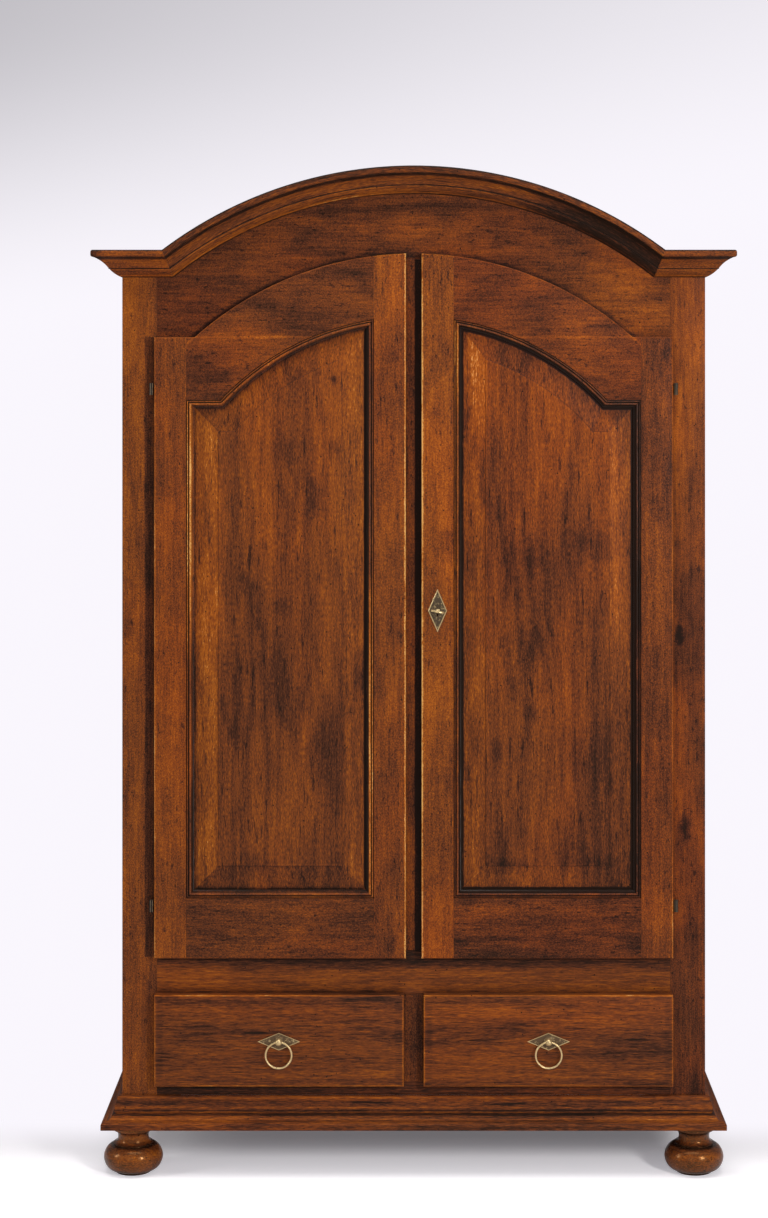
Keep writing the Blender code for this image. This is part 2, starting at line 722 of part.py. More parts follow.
def make_posts():
    """Corner posts, grooved for the side panels and the back; returns the front pair."""
    groove_middle = HALF_WIDTH - SIDE_THICKNESS / 2
    groove_half = HOUSING_TONGUE / 2 + FIT
    groove_depth = HOUSING_DEPTH + FIT
    top = shoulder_level(ROOF_OFFSET) - FIT
    front_posts = {}
    for word, side in SIDES.items():
        outline = [
            (POST_INNER, FRONT),
            (HALF_WIDTH, FRONT),
            (HALF_WIDTH, POST_BACK),
            (groove_middle + groove_half, POST_BACK),
            (groove_middle + groove_half, POST_BACK - groove_depth),
            (groove_middle - groove_half, POST_BACK - groove_depth),
            (groove_middle - groove_half, POST_BACK),
            (POST_INNER, POST_BACK),
        ]
        outline = [(side * x, y) for x, y in outline]
        post = extruded("post_front_" + word, outline, PLAN_PLANE, FOOT_HEIGHT, top)
        round_edges(
            post,
            lambda point: abs(point.x) > HALF_WIDTH - WELD and point.y < FRONT + WELD,
            POST_ROUNDING,
        )
        foot_x = side * (HALF_WIDTH - FOOT_INSET_X)
        dowel_bore(post, foot_x, FRONT + FOOT_INSET_Y)
        make_foot("foot_front_" + word, foot_x, FRONT + FOOT_INSET_Y)
        front_posts[word] = post
        outline = [
            (REAR_POST_INNER, BACK),
            (REAR_POST_INNER, BACK - BACK_SETBACK + FIT),
            (REAR_POST_INNER + groove_depth, BACK - BACK_SETBACK + FIT),
            (REAR_POST_INNER + groove_depth, BACK_FACE - FIT),
            (REAR_POST_INNER, BACK_FACE - FIT),
            (REAR_POST_INNER, REAR_POST_FRONT),
            (groove_middle - groove_half, REAR_POST_FRONT),
            (groove_middle - groove_half, REAR_POST_FRONT + groove_depth),
            (groove_middle + groove_half, REAR_POST_FRONT + groove_depth),
            (groove_middle + groove_half, REAR_POST_FRONT),
            (HALF_WIDTH, REAR_POST_FRONT),
            (HALF_WIDTH, BACK),
        ]
        outline = [(side * x, y) for x, y in outline]
        rear = extruded("post_rear_" + word, outline, PLAN_PLANE, FOOT_HEIGHT, top)
        dowel_bore(rear, foot_x, BACK - FOOT_REAR_INSET_Y)
        make_foot("foot_rear_" + word, foot_x, BACK - FOOT_REAR_INSET_Y)
        finish(rear, WALNUT, (side * HALF_WIDTH, BACK, FOOT_HEIGHT))
    return front_posts


def bearer(side, name, inner_x, y_low, y_high, z_low, z_high):
    return box(
        name,
        (side * inner_x, y_low, z_low),
        (side * (SIDE_INNER + OVERRUN), y_high, z_high),
    )


def make_side_panels():
    """Side boards tongued into the posts, with the bearers that carry what lies between."""
    middle = HALF_WIDTH - SIDE_THICKNESS / 2
    half = HOUSING_TONGUE / 2
    front_edge = POST_BACK + FIT
    rear_edge = REAR_POST_FRONT - FIT
    bearer_front = front_edge + BEARER_SETBACK
    bearer_rear = rear_edge - BEARER_SETBACK
    top = shoulder_level(ROOF_OFFSET) - FIT
    floor_bottom = SILL_TOP - FLOOR_THICKNESS
    shelf_bottom = SHELF_LEVEL - SHELF_THICKNESS
    for word, side in SIDES.items():
        panel = box(
            "side_panel_" + word,
            (side * SIDE_INNER, front_edge, FOOT_HEIGHT), (side * HALF_WIDTH, rear_edge, top),
        )
        join(panel, box(
            word + "_panel_tongue",
            (side * (middle - half), POST_BACK - HOUSING_DEPTH, FOOT_HEIGHT),
            (side * (middle + half), REAR_POST_FRONT + HOUSING_DEPTH, top),
        ))
        inner = SIDE_INNER - BEARER_WIDTH
        for name, carried in (("base", BASE_TOP), ("floor", floor_bottom), ("shelf", shelf_bottom)):
            low = carried - FIT - BEARER_HEIGHT
            high = carried - FIT
            join(panel, bearer(
                side, word + "_bearer_" + name, inner, bearer_front, bearer_rear, low, high
            ))
        guide_low = BOARD_TOP + FIT
        guide = bearer(
            side, word + "_drawer_guide", POST_INNER, bearer_front, bearer_rear,
            guide_low, guide_low + GUIDE_HEIGHT,
        )
        join(panel, guide)
        socket = bearer(
            side, word + "_rail_socket", SIDE_INNER - RAIL_SOCKET_THICKNESS,
            RAIL_Y - RAIL_SOCKET_HALF, RAIL_Y + RAIL_SOCKET_HALF,
            RAIL_LEVEL - RAIL_SOCKET_HALF, RAIL_LEVEL + RAIL_SOCKET_HALF,
        )
        join(panel, socket)
        rail_bore = rod(
            word + "_rail_bore",
            (side * (SIDE_INNER - RAIL_SOCKET_THICKNESS - OVERRUN), RAIL_Y, RAIL_LEVEL),
            (side * (SIDE_INNER + FIT), RAIL_Y, RAIL_LEVEL),
            HANGING_RAIL_RADIUS + FIT,
            ROUND_SIDES,
        )
        cut(panel, rail_bore)
        finish(panel, WALNUT, (side * HALF_WIDTH, FRONT, FOOT_HEIGHT))


def make_front_frame(front_posts):
    """Frieze and sill rail, tenoned into the front posts, and the post between the doors."""
    width = POST_INNER - FIT
    lower = arched_line(-DOOR_OVERLAY, -width, width)
    upper = arched_line(ROOF_OFFSET - FIT, -width, width)
    frieze = extruded("frieze", lower + upper[::-1], FRONT_PLANE, FRONT, FRAME_BACK)
    sill = box("sill_rail", (-width, FRONT, SILL_BOTTOM), (width, FRAME_BACK, SILL_TOP))
    levels = {
        frieze: (shoulder_level(-DOOR_OVERLAY), shoulder_level(ROOF_OFFSET)),
        sill: (SILL_BOTTOM, SILL_TOP),
    }
    for rail, (low, high) in levels.items():
        for word, side in SIDES.items():
            stub_joint(
                rail, front_posts[word], side, side * POST_INNER, TENON_LENGTH, TENON_THICKNESS,
                (FRONT + FRAME_BACK) / 2, low + TENON_SHOULDER, high - TENON_SHOULDER,
            )
        finish(rail, WALNUT, (0, FRONT, low))
    half = CENTER_POST_HALF
    outline = [(-half, SILL_TOP + FIT), (half, SILL_TOP + FIT)]
    outline += arched_line(-DOOR_OVERLAY - FIT, -half, half, 2)[::-1]
    post = extruded("center_post", outline, FRONT_PLANE, FRONT, CENTER_POST_BACK)
    bolt_level = KEY_HEIGHT + BOLT_RISE
    bolt_y = lock_middle_y()
    strike = box(
        "bolt_mortise",
        (half - BOLT_TRAVEL, bolt_y - BOLT_THICKNESS / 2 - FIT, bolt_level - BOLT_HEIGHT / 2 - FIT),
        (half + OVERRUN, bolt_y + BOLT_THICKNESS / 2 + FIT, bolt_level + BOLT_HEIGHT / 2 + FIT),
    )
    cut(post, strike)
    finish(post, WALNUT, (0, FRONT, SILL_TOP))


def make_drawer_divider():
    """The upright between the drawers, and the partition behind it that guides them."""
    divider = box(
        "drawer_divider",
        (-DIVIDER_HALF, FRONT, BOARD_TOP + FIT),
        (DIVIDER_HALF, FRAME_BACK, SILL_BOTTOM - FIT),
    )
    half = PARTITION_THICKNESS / 2
    low = BOARD_TOP + FIT
    high = SILL_TOP - FLOOR_THICKNESS - FIT
    outline = [
        (-DIVIDER_HALF, low),
        (DIVIDER_HALF, low),
        (DIVIDER_HALF, low + GUIDE_HEIGHT),
        (half, low + GUIDE_HEIGHT),
        (half, SILL_BOTTOM - FIT),
        (-half, SILL_BOTTOM - FIT),
        (-half, low + GUIDE_HEIGHT),
        (-DIVIDER_HALF, low + GUIDE_HEIGHT),
    ]
    rear = BACK_FACE - FIT
    partition = extruded("partition", outline, FRONT_PLANE, FRAME_BACK - OVERRUN, rear)
    join(divider, partition)
    upper = box(
        "partition_top",
        (-half, FRAME_BACK + FIT, SILL_BOTTOM - OVERRUN),
        (half, rear - OVERRUN, high),
    )
    join(divider, upper)
    finish(divider, WALNUT, (0, FRONT, BOARD_TOP))


def make_boards():
    """Cabinet floor, hat shelf, back and the arched roof."""
    floor_outline = shelf_outline(FRAME_BACK + FIT, POST_BACK)
    floor = extruded(
        "cabinet_floor", floor_outline, PLAN_PLANE, SILL_TOP - FLOOR_THICKNESS, SILL_TOP
    )
    finish(floor, INNER_WOOD, (0, FRONT, SILL_TOP))
    wide = SIDE_INNER - FIT
    shelf_front = POST_BACK + SHELF_SETBACK
    shelf = box(
        "hat_shelf",
        (-wide, shelf_front, SHELF_LEVEL - SHELF_THICKNESS),
        (wide, REAR_POST_FRONT - FIT, SHELF_LEVEL),
    )
    round_edges(shelf, lambda point: point.y < shelf_front + WELD, SHELF_THICKNESS / 4)
    finish(shelf, INNER_WOOD, (0, shelf_front, SHELF_LEVEL))
    half = REAR_POST_INNER + HOUSING_DEPTH
    outline = [(half, FOOT_HEIGHT), (-half, FOOT_HEIGHT)]
    outline += arched_line(ROOF_OFFSET - FIT, -half, half)
    back = extruded("back_panel", outline, FRONT_PLANE, BACK_FACE, BACK_FACE + BACK_THICKNESS)
    finish(back, INNER_WOOD, (0, BACK, FOOT_HEIGHT))
    upper = arched_line(TOP_OFFSET, -HALF_WIDTH, HALF_WIDTH)
    lower = arched_line(ROOF_OFFSET, -HALF_WIDTH, HALF_WIDTH)
    roof = extruded("roof", upper + lower[::-1], FRONT_PLANE, FRONT, BACK)
    finish(roof, WALNUT, (0, FRONT, DOOR_SHOULDER))
    rail = rod(
        "hanging_rail", (-wide, RAIL_Y, RAIL_LEVEL), (wide, RAIL_Y, RAIL_LEVEL),
        HANGING_RAIL_RADIUS, ROUND_SIDES,
    )
    finish(smooth(rail), INNER_WOOD, (0, RAIL_Y, RAIL_LEVEL))


def make_cornice():
    """One moulding: turned over the arch, straight over the posts, returned along the sides."""
    section = cornice_section()
    swing = math.asin(arch_half_width(FRIEZE_WIDTH) / arch_radius(FRIEZE_WIDTH))
    swing += OVERRUN / arch_radius(FRIEZE_WIDTH)
    bm = bmesh.new()
    verts = []
    for out, up in section:
        radius = arch_radius(FRIEZE_WIDTH) + up
        place = (
            -radius * math.sin(swing),
            FRONT - FIT - out,
            ARCH_CENTER + radius * math.cos(swing),
        )
        verts.append(bm.verts.new(place))
    for vert, after in zip(verts, verts[1:] + verts[:1]):
        bm.edges.new((vert, after))
    bmesh.ops.spin(
        bm, geom=bm.verts[:] + bm.edges[:], cent=(0, 0, ARCH_CENTER), axis=(0, 1, 0),
        angle=2 * swing, steps=ARCH_STEPS, use_merge=False,
    )
    arch = make_piece("cornice_arch", bm)
    for side in SIDES.values():
        point, outward = arch_mitre_plane(side, -FIT / 2)
        trim(arch, point, outward)
    finish(arch, WALNUT, (0, FRONT, shoulder_level(FRIEZE_WIDTH)))
    level = shoulder_level(FRIEZE_WIDTH)
    inner = arch_half_width(FRIEZE_WIDTH) - CORNICE_HEIGHT
    outer = HALF_WIDTH + CORNICE_PROJECTION + OVERRUN
    for word, side in SIDES.items():
        ends = sorted((side * inner, side * outer))
        end = front_run("cornice_" + word, section, level, *ends)
        point, outward = arch_mitre_plane(side, FIT / 2)
        trim(end, point, -outward)
        corner, beyond = corner_plane(side, 0)
        trim(end, corner, beyond, cap=False)
        run = side_run("cornice_return", section, level, side, FRONT - outer, BACK)
        trim(run, corner, -beyond, cap=False)
        weld_together(end, run)
        finish(end, WALNUT, (side * HALF_WIDTH, FRONT, level))


# Doors

def panel_outline(inset, side, y):
    """The opening inside a door's frame, drawn in by an inset, as points in space."""
    inner = DOOR_INNER + STILE_WIDTH + inset
    outer = DOOR_OUTER - STILE_WIDTH - inset
    offset = -TOP_RAIL_WIDTH - inset
    bottom = DOOR_BOTTOM + BOTTOM_RAIL_WIDTH + inset
    top = arched_line(offset, inner, outer, DOOR_HALF_STEPS)
    points = [(outer, bottom), (inner, bottom)] + top
    return [Vector((side * x, y, z)) for x, z in points]


def bead_section():
    """The bead inside the door frame, as (inset, height off the door's back)."""
    seat = GROOVE_SETBACK + FIT + TONGUE_THICKNESS + FIT
    quirk = DOOR_THICKNESS - BEAD_QUIRK_DEPTH
    crown = DOOR_THICKNESS - BEAD_ROLL_DEPTH
    roll_start = FIT + BEAD_QUIRK_WIDTH
    roll_end = roll_start + BEAD_ROLL_WIDTH
    points = [(FIT, seat), (FIT, quirk), (roll_start, quirk)]
    middle = (roll_start + roll_end) / 2
    points += quarter((roll_start, quirk), (middle, crown), (roll_start, crown), 3)
    points += quarter((middle, crown), (roll_end, quirk), (roll_end, crown), 3)
    toe = (BEAD_WIDTH, seat + BEAD_TOE_HEIGHT)
    points += quarter((roll_end, quirk), toe, (roll_end, toe[1]), 3)
    points.append((BEAD_WIDTH, seat))
    return points


def on_door_edge(point):
    """Whether a point lies on the front arris round the outside of a door."""
    if point.y > DOOR_FACE + WELD:
        return False
    reach = abs(point.x)
    low = point.z < DOOR_BOTTOM + FIT
    high = point.z > arch_level(point.x, 0) - FIT
    return low or high or reach > DOOR_OUTER - FIT or reach < DOOR_INNER + FIT


def make_door(word, side):
    """Frame, bead and raised panel of one door, on the empty that marks its hinge axis."""
    hinge = axis_empty(word + "_door_hinge", (side * HINGE_X, HINGE_Y, DOOR_BOTTOM))
    inner_seam = DOOR_INNER + STILE_WIDTH
    outer_seam = DOOR_OUTER - STILE_WIDTH
    rail_top = DOOR_BOTTOM + BOTTOM_RAIL_WIDTH
    outer_stile = box(
        word + "_door_outer_stile",
        (side * outer_seam, DOOR_FACE, DOOR_BOTTOM),
        (side * DOOR_OUTER, DOOR_BACK, DOOR_SHOULDER),
    )
    outline = [(inner_seam, DOOR_BOTTOM), (DOOR_INNER, DOOR_BOTTOM)]
    outline += arched_line(0, DOOR_INNER, inner_seam, 3)
    inner_stile = front_outline(word + "_door_inner_stile", outline, side)
    low_line = arched_line(-TOP_RAIL_WIDTH, inner_seam + FIT, outer_seam - FIT, DOOR_HALF_STEPS)
    high_line = arched_line(0, inner_seam + FIT, outer_seam - FIT, DOOR_HALF_STEPS)
    top_rail = front_outline(word + "_door_top_rail", low_line + high_line[::-1], side)
    bottom_rail = box(
        word + "_door_bottom_rail",
        (side * (inner_seam + FIT), DOOR_FACE, DOOR_BOTTOM),
        (side * (outer_seam - FIT), DOOR_BACK, rail_top),
    )
    tongue_y = DOOR_BACK - GROOVE_SETBACK - FIT
    groove_sections = [
        panel_outline(-HOUSING_DEPTH - FIT, side, tongue_y + FIT),
        panel_outline(-HOUSING_DEPTH - FIT, side, tongue_y - TONGUE_THICKNESS - FIT),
    ]
    for piece in (outer_stile, inner_stile, top_rail, bottom_rail):
        round_edges(piece, on_door_edge, DOOR_ROUNDING)
        cut(piece, lofted(piece.name + "_groove", groove_sections))
    tenon_y = tongue_y - TONGUE_THICKNESS / 2
    inner_top = arch_level(inner_seam, -TOP_RAIL_WIDTH) + TENON_SHOULDER
    joints = (
        (top_rail, inner_stile, -side, inner_seam, inner_top, arch_level(inner_seam, 0)),
        (top_rail, outer_stile, side, outer_seam,
         shoulder_level(-TOP_RAIL_WIDTH) + TENON_SHOULDER, DOOR_SHOULDER),
        (bottom_rail, inner_stile, -side, inner_seam, DOOR_BOTTOM, rail_top - TENON_SHOULDER),
        (bottom_rail, outer_stile, side, outer_seam, DOOR_BOTTOM, rail_top - TENON_SHOULDER),
    )
    for rail, stile, way, seam, low, high in joints:
        low_end = max(low, DOOR_BOTTOM + TENON_SHOULDER)
        high_end = min(high, arch_level(seam, 0) - TENON_SHOULDER)
        stub_joint(
            rail, stile, way, side * seam, TENON_LENGTH, DOOR_TENON_THICKNESS, tenon_y,
            low_end, high_end,
        )
    front_y = tongue_y - TONGUE_THICKNESS
    bevel_top = front_y - PANEL_BEVEL_RISE
    field = BEAD_WIDTH + PANEL_BEVEL_WIDTH
    panel = lofted(word + "_door_panel", [
        panel_outline(-HOUSING_DEPTH, side, tongue_y),
        panel_outline(-HOUSING_DEPTH, side, front_y),
        panel_outline(BEAD_WIDTH - BEAD_TOE_HEIGHT, side, front_y),
        panel_outline(field, side, bevel_top),
        panel_outline(field, side, bevel_top - PANEL_FIELD_STEP),
    ])
    bead = lofted(
        word + "_door_bead",
        [panel_outline(inset, side, DOOR_BACK - up) for inset, up in bead_section()],
        ring=True,
    )
    pieces = {
        "outer_stile": outer_stile, "inner_stile": inner_stile, "top_rail": top_rail,
        "bottom_rail": bottom_rail, "panel": panel, "bead": bead,
    }
    for level in HINGE_LEVELS:
        hole = rod(
            word + "_stem_hole",
            (side * (DOOR_OUTER + OVERRUN), HINGE_Y, level + KNUCKLE_LENGTH / 2),
            (side * (DOOR_OUTER - HINGE_STEM_DEPTH - FIT), HINGE_Y, level + KNUCKLE_LENGTH / 2),
            HINGE_STEM_RADIUS + FIT,
        )
        cut(outer_stile, hole)
    if word == "right":
        cut_keyhole(inner_stile)
    for piece in pieces.values():
        finish(piece, WALNUT, hinge.location, hinge)
    return hinge


def front_outline(name, outline, side):
    return extruded(
        name, [(side * x, z) for x, z in outline], FRONT_PLANE, DOOR_FACE, DOOR_BACK
    )


def make_hinges(front_posts, door_hinges):
    """Screw-in barrel hinges: the lower knuckle and pin on the post, the upper on the door."""
    for word, side in SIDES.items():
        for place, level in zip(("lower", "upper"), HINGE_LEVELS):
            x = side * HINGE_X
            stem_end = FRONT + HINGE_STEM_DEPTH
            post_level = level - FIT - KNUCKLE_LENGTH / 2
            door_level = level + FIT + KNUCKLE_LENGTH / 2
            hole = rod(
                place + "_post_hole", (x, FRONT - OVERRUN, post_level),
                (x, stem_end + FIT, post_level), HINGE_STEM_RADIUS + FIT,
            )
            cut(front_posts[word], hole)
            post_half = rod(
                "hinge_" + word + "_" + place + "_post",
                (x, HINGE_Y, level - FIT - KNUCKLE_LENGTH), (x, HINGE_Y, level - FIT),
                KNUCKLE_RADIUS,
            )
            join(post_half, rod(
                place + "_post_stem", (x, HINGE_Y, post_level), (x, stem_end, post_level),
                HINGE_STEM_RADIUS,
            ))
            pin_top = level + FIT + KNUCKLE_LENGTH - HINGE_CAP
            join(post_half, rod(
                place + "_pin", (x, HINGE_Y, post_level), (x, HINGE_Y, pin_top - FIT),
                HINGE_PIN_RADIUS,
            ))
            finish(smooth(post_half), IRON, (x, HINGE_Y, level))
            door_half = rod(
                "hinge_" + word + "_" + place + "_door",
                (x, HINGE_Y, level + FIT), (x, HINGE_Y, level + FIT + KNUCKLE_LENGTH),
                KNUCKLE_RADIUS,
            )
            join(door_half, rod(
                place + "_door_stem", (x, HINGE_Y, door_level),
                (side * (DOOR_OUTER - HINGE_STEM_DEPTH), HINGE_Y, door_level),
                HINGE_STEM_RADIUS,
            ))
            cut(door_half, rod(
                place + "_pin_bore", (x, HINGE_Y, level - OVERRUN), (x, HINGE_Y, pin_top),
                HINGE_PIN_RADIUS + FIT,
            ))
            finish(smooth(door_half), IRON, (x, HINGE_Y, level), door_hinges[word])


# Lock and key

def lock_middle_y():
    """The middle of the lock case's depth, where the bolt runs."""
    return DOOR_BACK + FIT + LOCK_CASE_DEPTH / 2


def keyhole_tools(name, y_low, y_high):
    """A round hole with a slot below it, as two cutters."""
    reach = KEY_BIT_REACH + FIT
    half = KEY_BIT_THICKNESS / 2 + FIT
    return (
        rod(name + "_eye", (KEY_X, y_low, KEY_HEIGHT), (KEY_X, y_high, KEY_HEIGHT), KEYHOLE_RADIUS),
        box(
            name + "_slot",
            (KEY_X - half, y_low, KEY_HEIGHT - reach),
            (KEY_X + half, y_high, KEY_HEIGHT),
        ),
    )


def cut_keyhole(piece):
    for tool in keyhole_tools("stile_keyhole", DOOR_FACE - OVERRUN, DOOR_BACK + OVERRUN):
        cut(piece, tool)


def make_lock(hinge):
    """Escutcheon, key, rim lock case and bolt of the right door."""
    half_sizes = (ESCUTCHEON_HALF_WIDTH, ESCUTCHEON_HALF_HEIGHT)
    seat = DOOR_FACE - FIT
    plate_y = seat - ESCUTCHEON_THICKNESS
    rim_y = plate_y - ESCUTCHEON_RIM
    (crest_share, floor_share) = ESCUTCHEON_RIM_SHARES
    escutcheon = lofted("escutcheon", [
        rhombus(KEY_X, KEY_HEIGHT, half_sizes, 1.0, seat),
        rhombus(KEY_X, KEY_HEIGHT, half_sizes, 1.0, plate_y),
        rhombus(KEY_X, KEY_HEIGHT, half_sizes, (1 + crest_share) / 2, rim_y),
        rhombus(KEY_X, KEY_HEIGHT, half_sizes, crest_share, rim_y),
        rhombus(KEY_X, KEY_HEIGHT, half_sizes, floor_share, plate_y),
    ])
    for tool in keyhole_tools("escutcheon_keyhole", rim_y - OVERRUN, seat + OVERRUN):
        cut(escutcheon, tool)
    finish(escutcheon, BRASS, (KEY_X, seat, KEY_HEIGHT), hinge)

    case_inner = CENTER_POST_HALF + LOCK_CASE_CLEARANCE
    case_outer = case_inner + LOCK_CASE_WIDTH
    case_front = DOOR_BACK + FIT
    case_back = case_front + LOCK_CASE_DEPTH
    case_low = KEY_HEIGHT - LOCK_CASE_BELOW
    case_high = KEY_HEIGHT + LOCK_CASE_ABOVE
    wall = LOCK_CASE_WALL
    case = box(
        "lock_case", (case_inner, case_front, case_low), (case_outer, case_back, case_high)
    )
    cut(case, box(
        "case_hollow",
        (case_inner + wall, case_front - OVERRUN, case_low + wall),
        (case_outer - wall, case_back - wall, case_high - wall),
    ))
    bolt_y = lock_middle_y()
    bolt_z = KEY_HEIGHT + BOLT_RISE
    half_thick = BOLT_THICKNESS / 2
    half_high = BOLT_HEIGHT / 2
    cut(case, box(
        "bolt_slot",
        (case_inner - OVERRUN, bolt_y - half_thick - FIT, bolt_z - half_high - FIT),
        (case_inner + wall + OVERRUN, bolt_y + half_thick + FIT, bolt_z + half_high + FIT),
    ))
    finish(case, IRON, (KEY_X, case_front, KEY_HEIGHT), hinge)
    bolt = box(
        "lock_bolt",
        (case_inner, bolt_y - half_thick, bolt_z - half_high),
        (case_inner + BOLT_LENGTH, bolt_y + half_thick, bolt_z + half_high),
    )
    finish(bolt, IRON, (case_inner, bolt_y, bolt_z), hinge)

    bow_end = DOOR_FACE - KEY_PROJECTION
    bow_y = bow_end + KEY_BOW_HALF_LENGTH
    shank_start = bow_y + KEY_BOW_HALF_LENGTH - KEY_BOW_WIRE_RADIUS
    shank_end = case_back - wall - FIT
    key = rod("key", (KEY_X, shank_start, KEY_HEIGHT), (KEY_X, shank_end, KEY_HEIGHT), KEY_SHANK_RADIUS)
    join(key, key_bow(bow_y))
    collar_y = shank_start + KEY_BOW_WIRE_RADIUS
    join(key, rod(
        "key_collar", (KEY_X, collar_y, KEY_HEIGHT),
        (KEY_X, collar_y + KEY_COLLAR_LENGTH, KEY_HEIGHT), KEY_COLLAR_RADIUS,
    ))
    half_bit = KEY_BIT_THICKNESS / 2
    join(key, box(
        "key_bit",
        (KEY_X, shank_end - FIT - KEY_BIT_LENGTH, KEY_HEIGHT - half_bit),
        (KEY_X + KEY_BIT_REACH, shank_end - FIT, KEY_HEIGHT + half_bit),
    ))
    finish(key, BRASS, (KEY_X, DOOR_FACE, KEY_HEIGHT), hinge)


def key_bow(bow_y):
    """The flat oval ring of the key, lying level."""
    width = KEY_BOW_HALF_WIDTH - KEY_BOW_WIRE_RADIUS
    length = KEY_BOW_HALF_LENGTH - KEY_BOW_WIRE_RADIUS
    sections = []
    for step in range(ROUND_SIDES):
        turn = 2 * math.pi * step / ROUND_SIDES
        center = Vector((KEY_X + width * math.cos(turn), bow_y + length * math.sin(turn), KEY_HEIGHT))
        outward = Vector((math.cos(turn) / width, math.sin(turn) / length, 0)).normalized()
        ring = []
        for side in range(PIN_SIDES // 2):
            angle = 4 * math.pi * side / PIN_SIDES
            lift = Vector((0, 0, math.sin(angle)))
            ring.append(center + (outward * math.cos(angle) + lift) * KEY_BOW_WIRE_RADIUS)
        sections.append(ring)
    return lofted("key_bow", sections, ring=True)


def rhombus(x, z, half_sizes, share, y):
    """A standing or lying diamond, drawn in to a share of its size."""
    half_width, half_height = (size * share for size in half_sizes)
    corners = ((half_width, 0), (0, half_height), (-half_width, 0), (0, -half_height))
    return [Vector((x + u, y, z + v)) for u, v in corners]


def make_turn_button(hinge):
    """The catch inside the left door, which turns behind the centre post."""
    x = -BUTTON_X
    start = DOOR_BACK + FIT
    arm_front = CENTER_POST_BACK + FIT + FIT
    arm_back = arm_front + BUTTON_ARM_THICKNESS
    half = BUTTON_ARM_HALF_WIDTH
    outline = []
    for step in range(PIN_SIDES // 2 + 1):
        turn = math.pi * step / (PIN_SIDES // 2)
        outline.append((x + half * math.cos(turn), KEY_HEIGHT + half * math.sin(turn)))
    toe = KEY_HEIGHT - BUTTON_ARM_REACH + half
    for step in range(PIN_SIDES // 2 + 1):
        turn = math.pi + math.pi * step / (PIN_SIDES // 2)
        outline.append((x + half * math.cos(turn), toe + half * math.sin(turn)))
    button = extruded("turn_button", outline, FRONT_PLANE, arm_front, arm_back)
    join(button, rod(
        "button_boss", (x, start, KEY_HEIGHT), (x, arm_front + BUTTON_ARM_THICKNESS / 2, KEY_HEIGHT),
        BUTTON_BOSS_RADIUS,
    ))
    finish(button, INNER_WOOD, (x, start, KEY_HEIGHT), hinge)


# Drawers

def make_drawer(word, side):
    """Front, box, pull plate and hanging ring of one drawer."""
    slide = axis_empty(word + "_drawer_slide", (side * PULL_X, FRONT, BOARD_TOP))
    front = box(
        word + "_drawer_front",
        (side * DRAWER_INNER, DRAWER_FACE, DRAWER_BOTTOM),
        (side * DRAWER_OUTER, DRAWER_BACK, DRAWER_TOP),
    )
    round_edges(front, lambda point: point.y < DRAWER_FACE + WELD, DRAWER_CHAMFER, 2)
    box_inner = DIVIDER_HALF + DRAWER_SIDE_CLEARANCE
    box_outer = POST_INNER - DRAWER_SIDE_CLEARANCE
    box_front = DRAWER_BACK + FIT
    box_back = BACK_FACE - DRAWER_REAR_CLEARANCE
    box_low = BOARD_TOP + FIT
    box_high = SILL_BOTTOM - DRAWER_TOP_CLEARANCE
    wall = DRAWER_BOX_WALL
    tray = box(
        word + "_drawer_box",
        (side * box_inner, box_front, box_low), (side * box_outer, box_back, box_high),
    )
    cut(tray, box(
        word + "_drawer_hollow",
        (side * (box_inner + wall), box_front + wall, box_low + DRAWER_BOTTOM_THICKNESS),
        (side * (box_outer - wall), box_back - wall, box_high + OVERRUN),
    ))
    x = side * PULL_X
    shank_end = box_front + wall - FIT
    for piece in (front, tray):
        cut(piece, rod(
            piece.name + "_shank_hole", (x, DRAWER_FACE - OVERRUN, PULL_Z),
            (x, box_front + wall + OVERRUN, PULL_Z), PULL_SHANK_RADIUS + FIT,
        ))
    plate = lofted(word + "_pull_plate", [
        rhombus(x, PULL_Z, (PULL_HALF_WIDTH, PULL_HALF_HEIGHT), 1.0, DRAWER_FACE - FIT),
        rhombus(x, PULL_Z, (PULL_HALF_WIDTH, PULL_HALF_HEIGHT), 1.0,
                DRAWER_FACE - FIT - PULL_EDGE_THICKNESS),
        rhombus(x, PULL_Z, (PULL_HALF_WIDTH, PULL_HALF_HEIGHT), PULL_CROWN_SHARE,
                DRAWER_FACE - FIT - PULL_CROWN_THICKNESS),
    ])
    join(plate, rod(
        word + "_pull_neck", (x, PULL_Y, PULL_Z), (x, DRAWER_FACE - FIT - PULL_EDGE_THICKNESS, PULL_Z),
        PULL_NECK_RADIUS,
    ))
    join(plate, rod(
        word + "_pull_shank", (x, PULL_Y, PULL_Z), (x, shank_end, PULL_Z), PULL_SHANK_RADIUS
    ))
    join(plate, ball(word + "_pull_ball", (x, PULL_Y, PULL_Z), PULL_BALL_RADIUS))
    reach = PULL_BALL_RADIUS + OVERRUN
    cut(plate, rod(
        word + "_pull_eye", (x - reach, PULL_Y, PULL_Z), (x + reach, PULL_Y, PULL_Z), PULL_EYE_RADIUS
    ))
    ring = make_ring(word + "_ring", x)
    finish(front, WALNUT, slide.location, slide)
    finish(tray, INNER_WOOD, slide.location, slide)
    finish(plate, BRASS, (x, DRAWER_FACE, PULL_Z), slide)
    finish(smooth(ring), BRASS, (x, PULL_Y, PULL_Z), slide)


def ball(name, place, radius):
    bm = bmesh.new()
    bmesh.ops.create_uvsphere(bm, u_segments=PIN_SIDES, v_segments=PIN_SIDES // 2 + 2, radius=radius)
    bmesh.ops.translate(bm, vec=place, verts=bm.verts)
    return make_piece(name, bm)


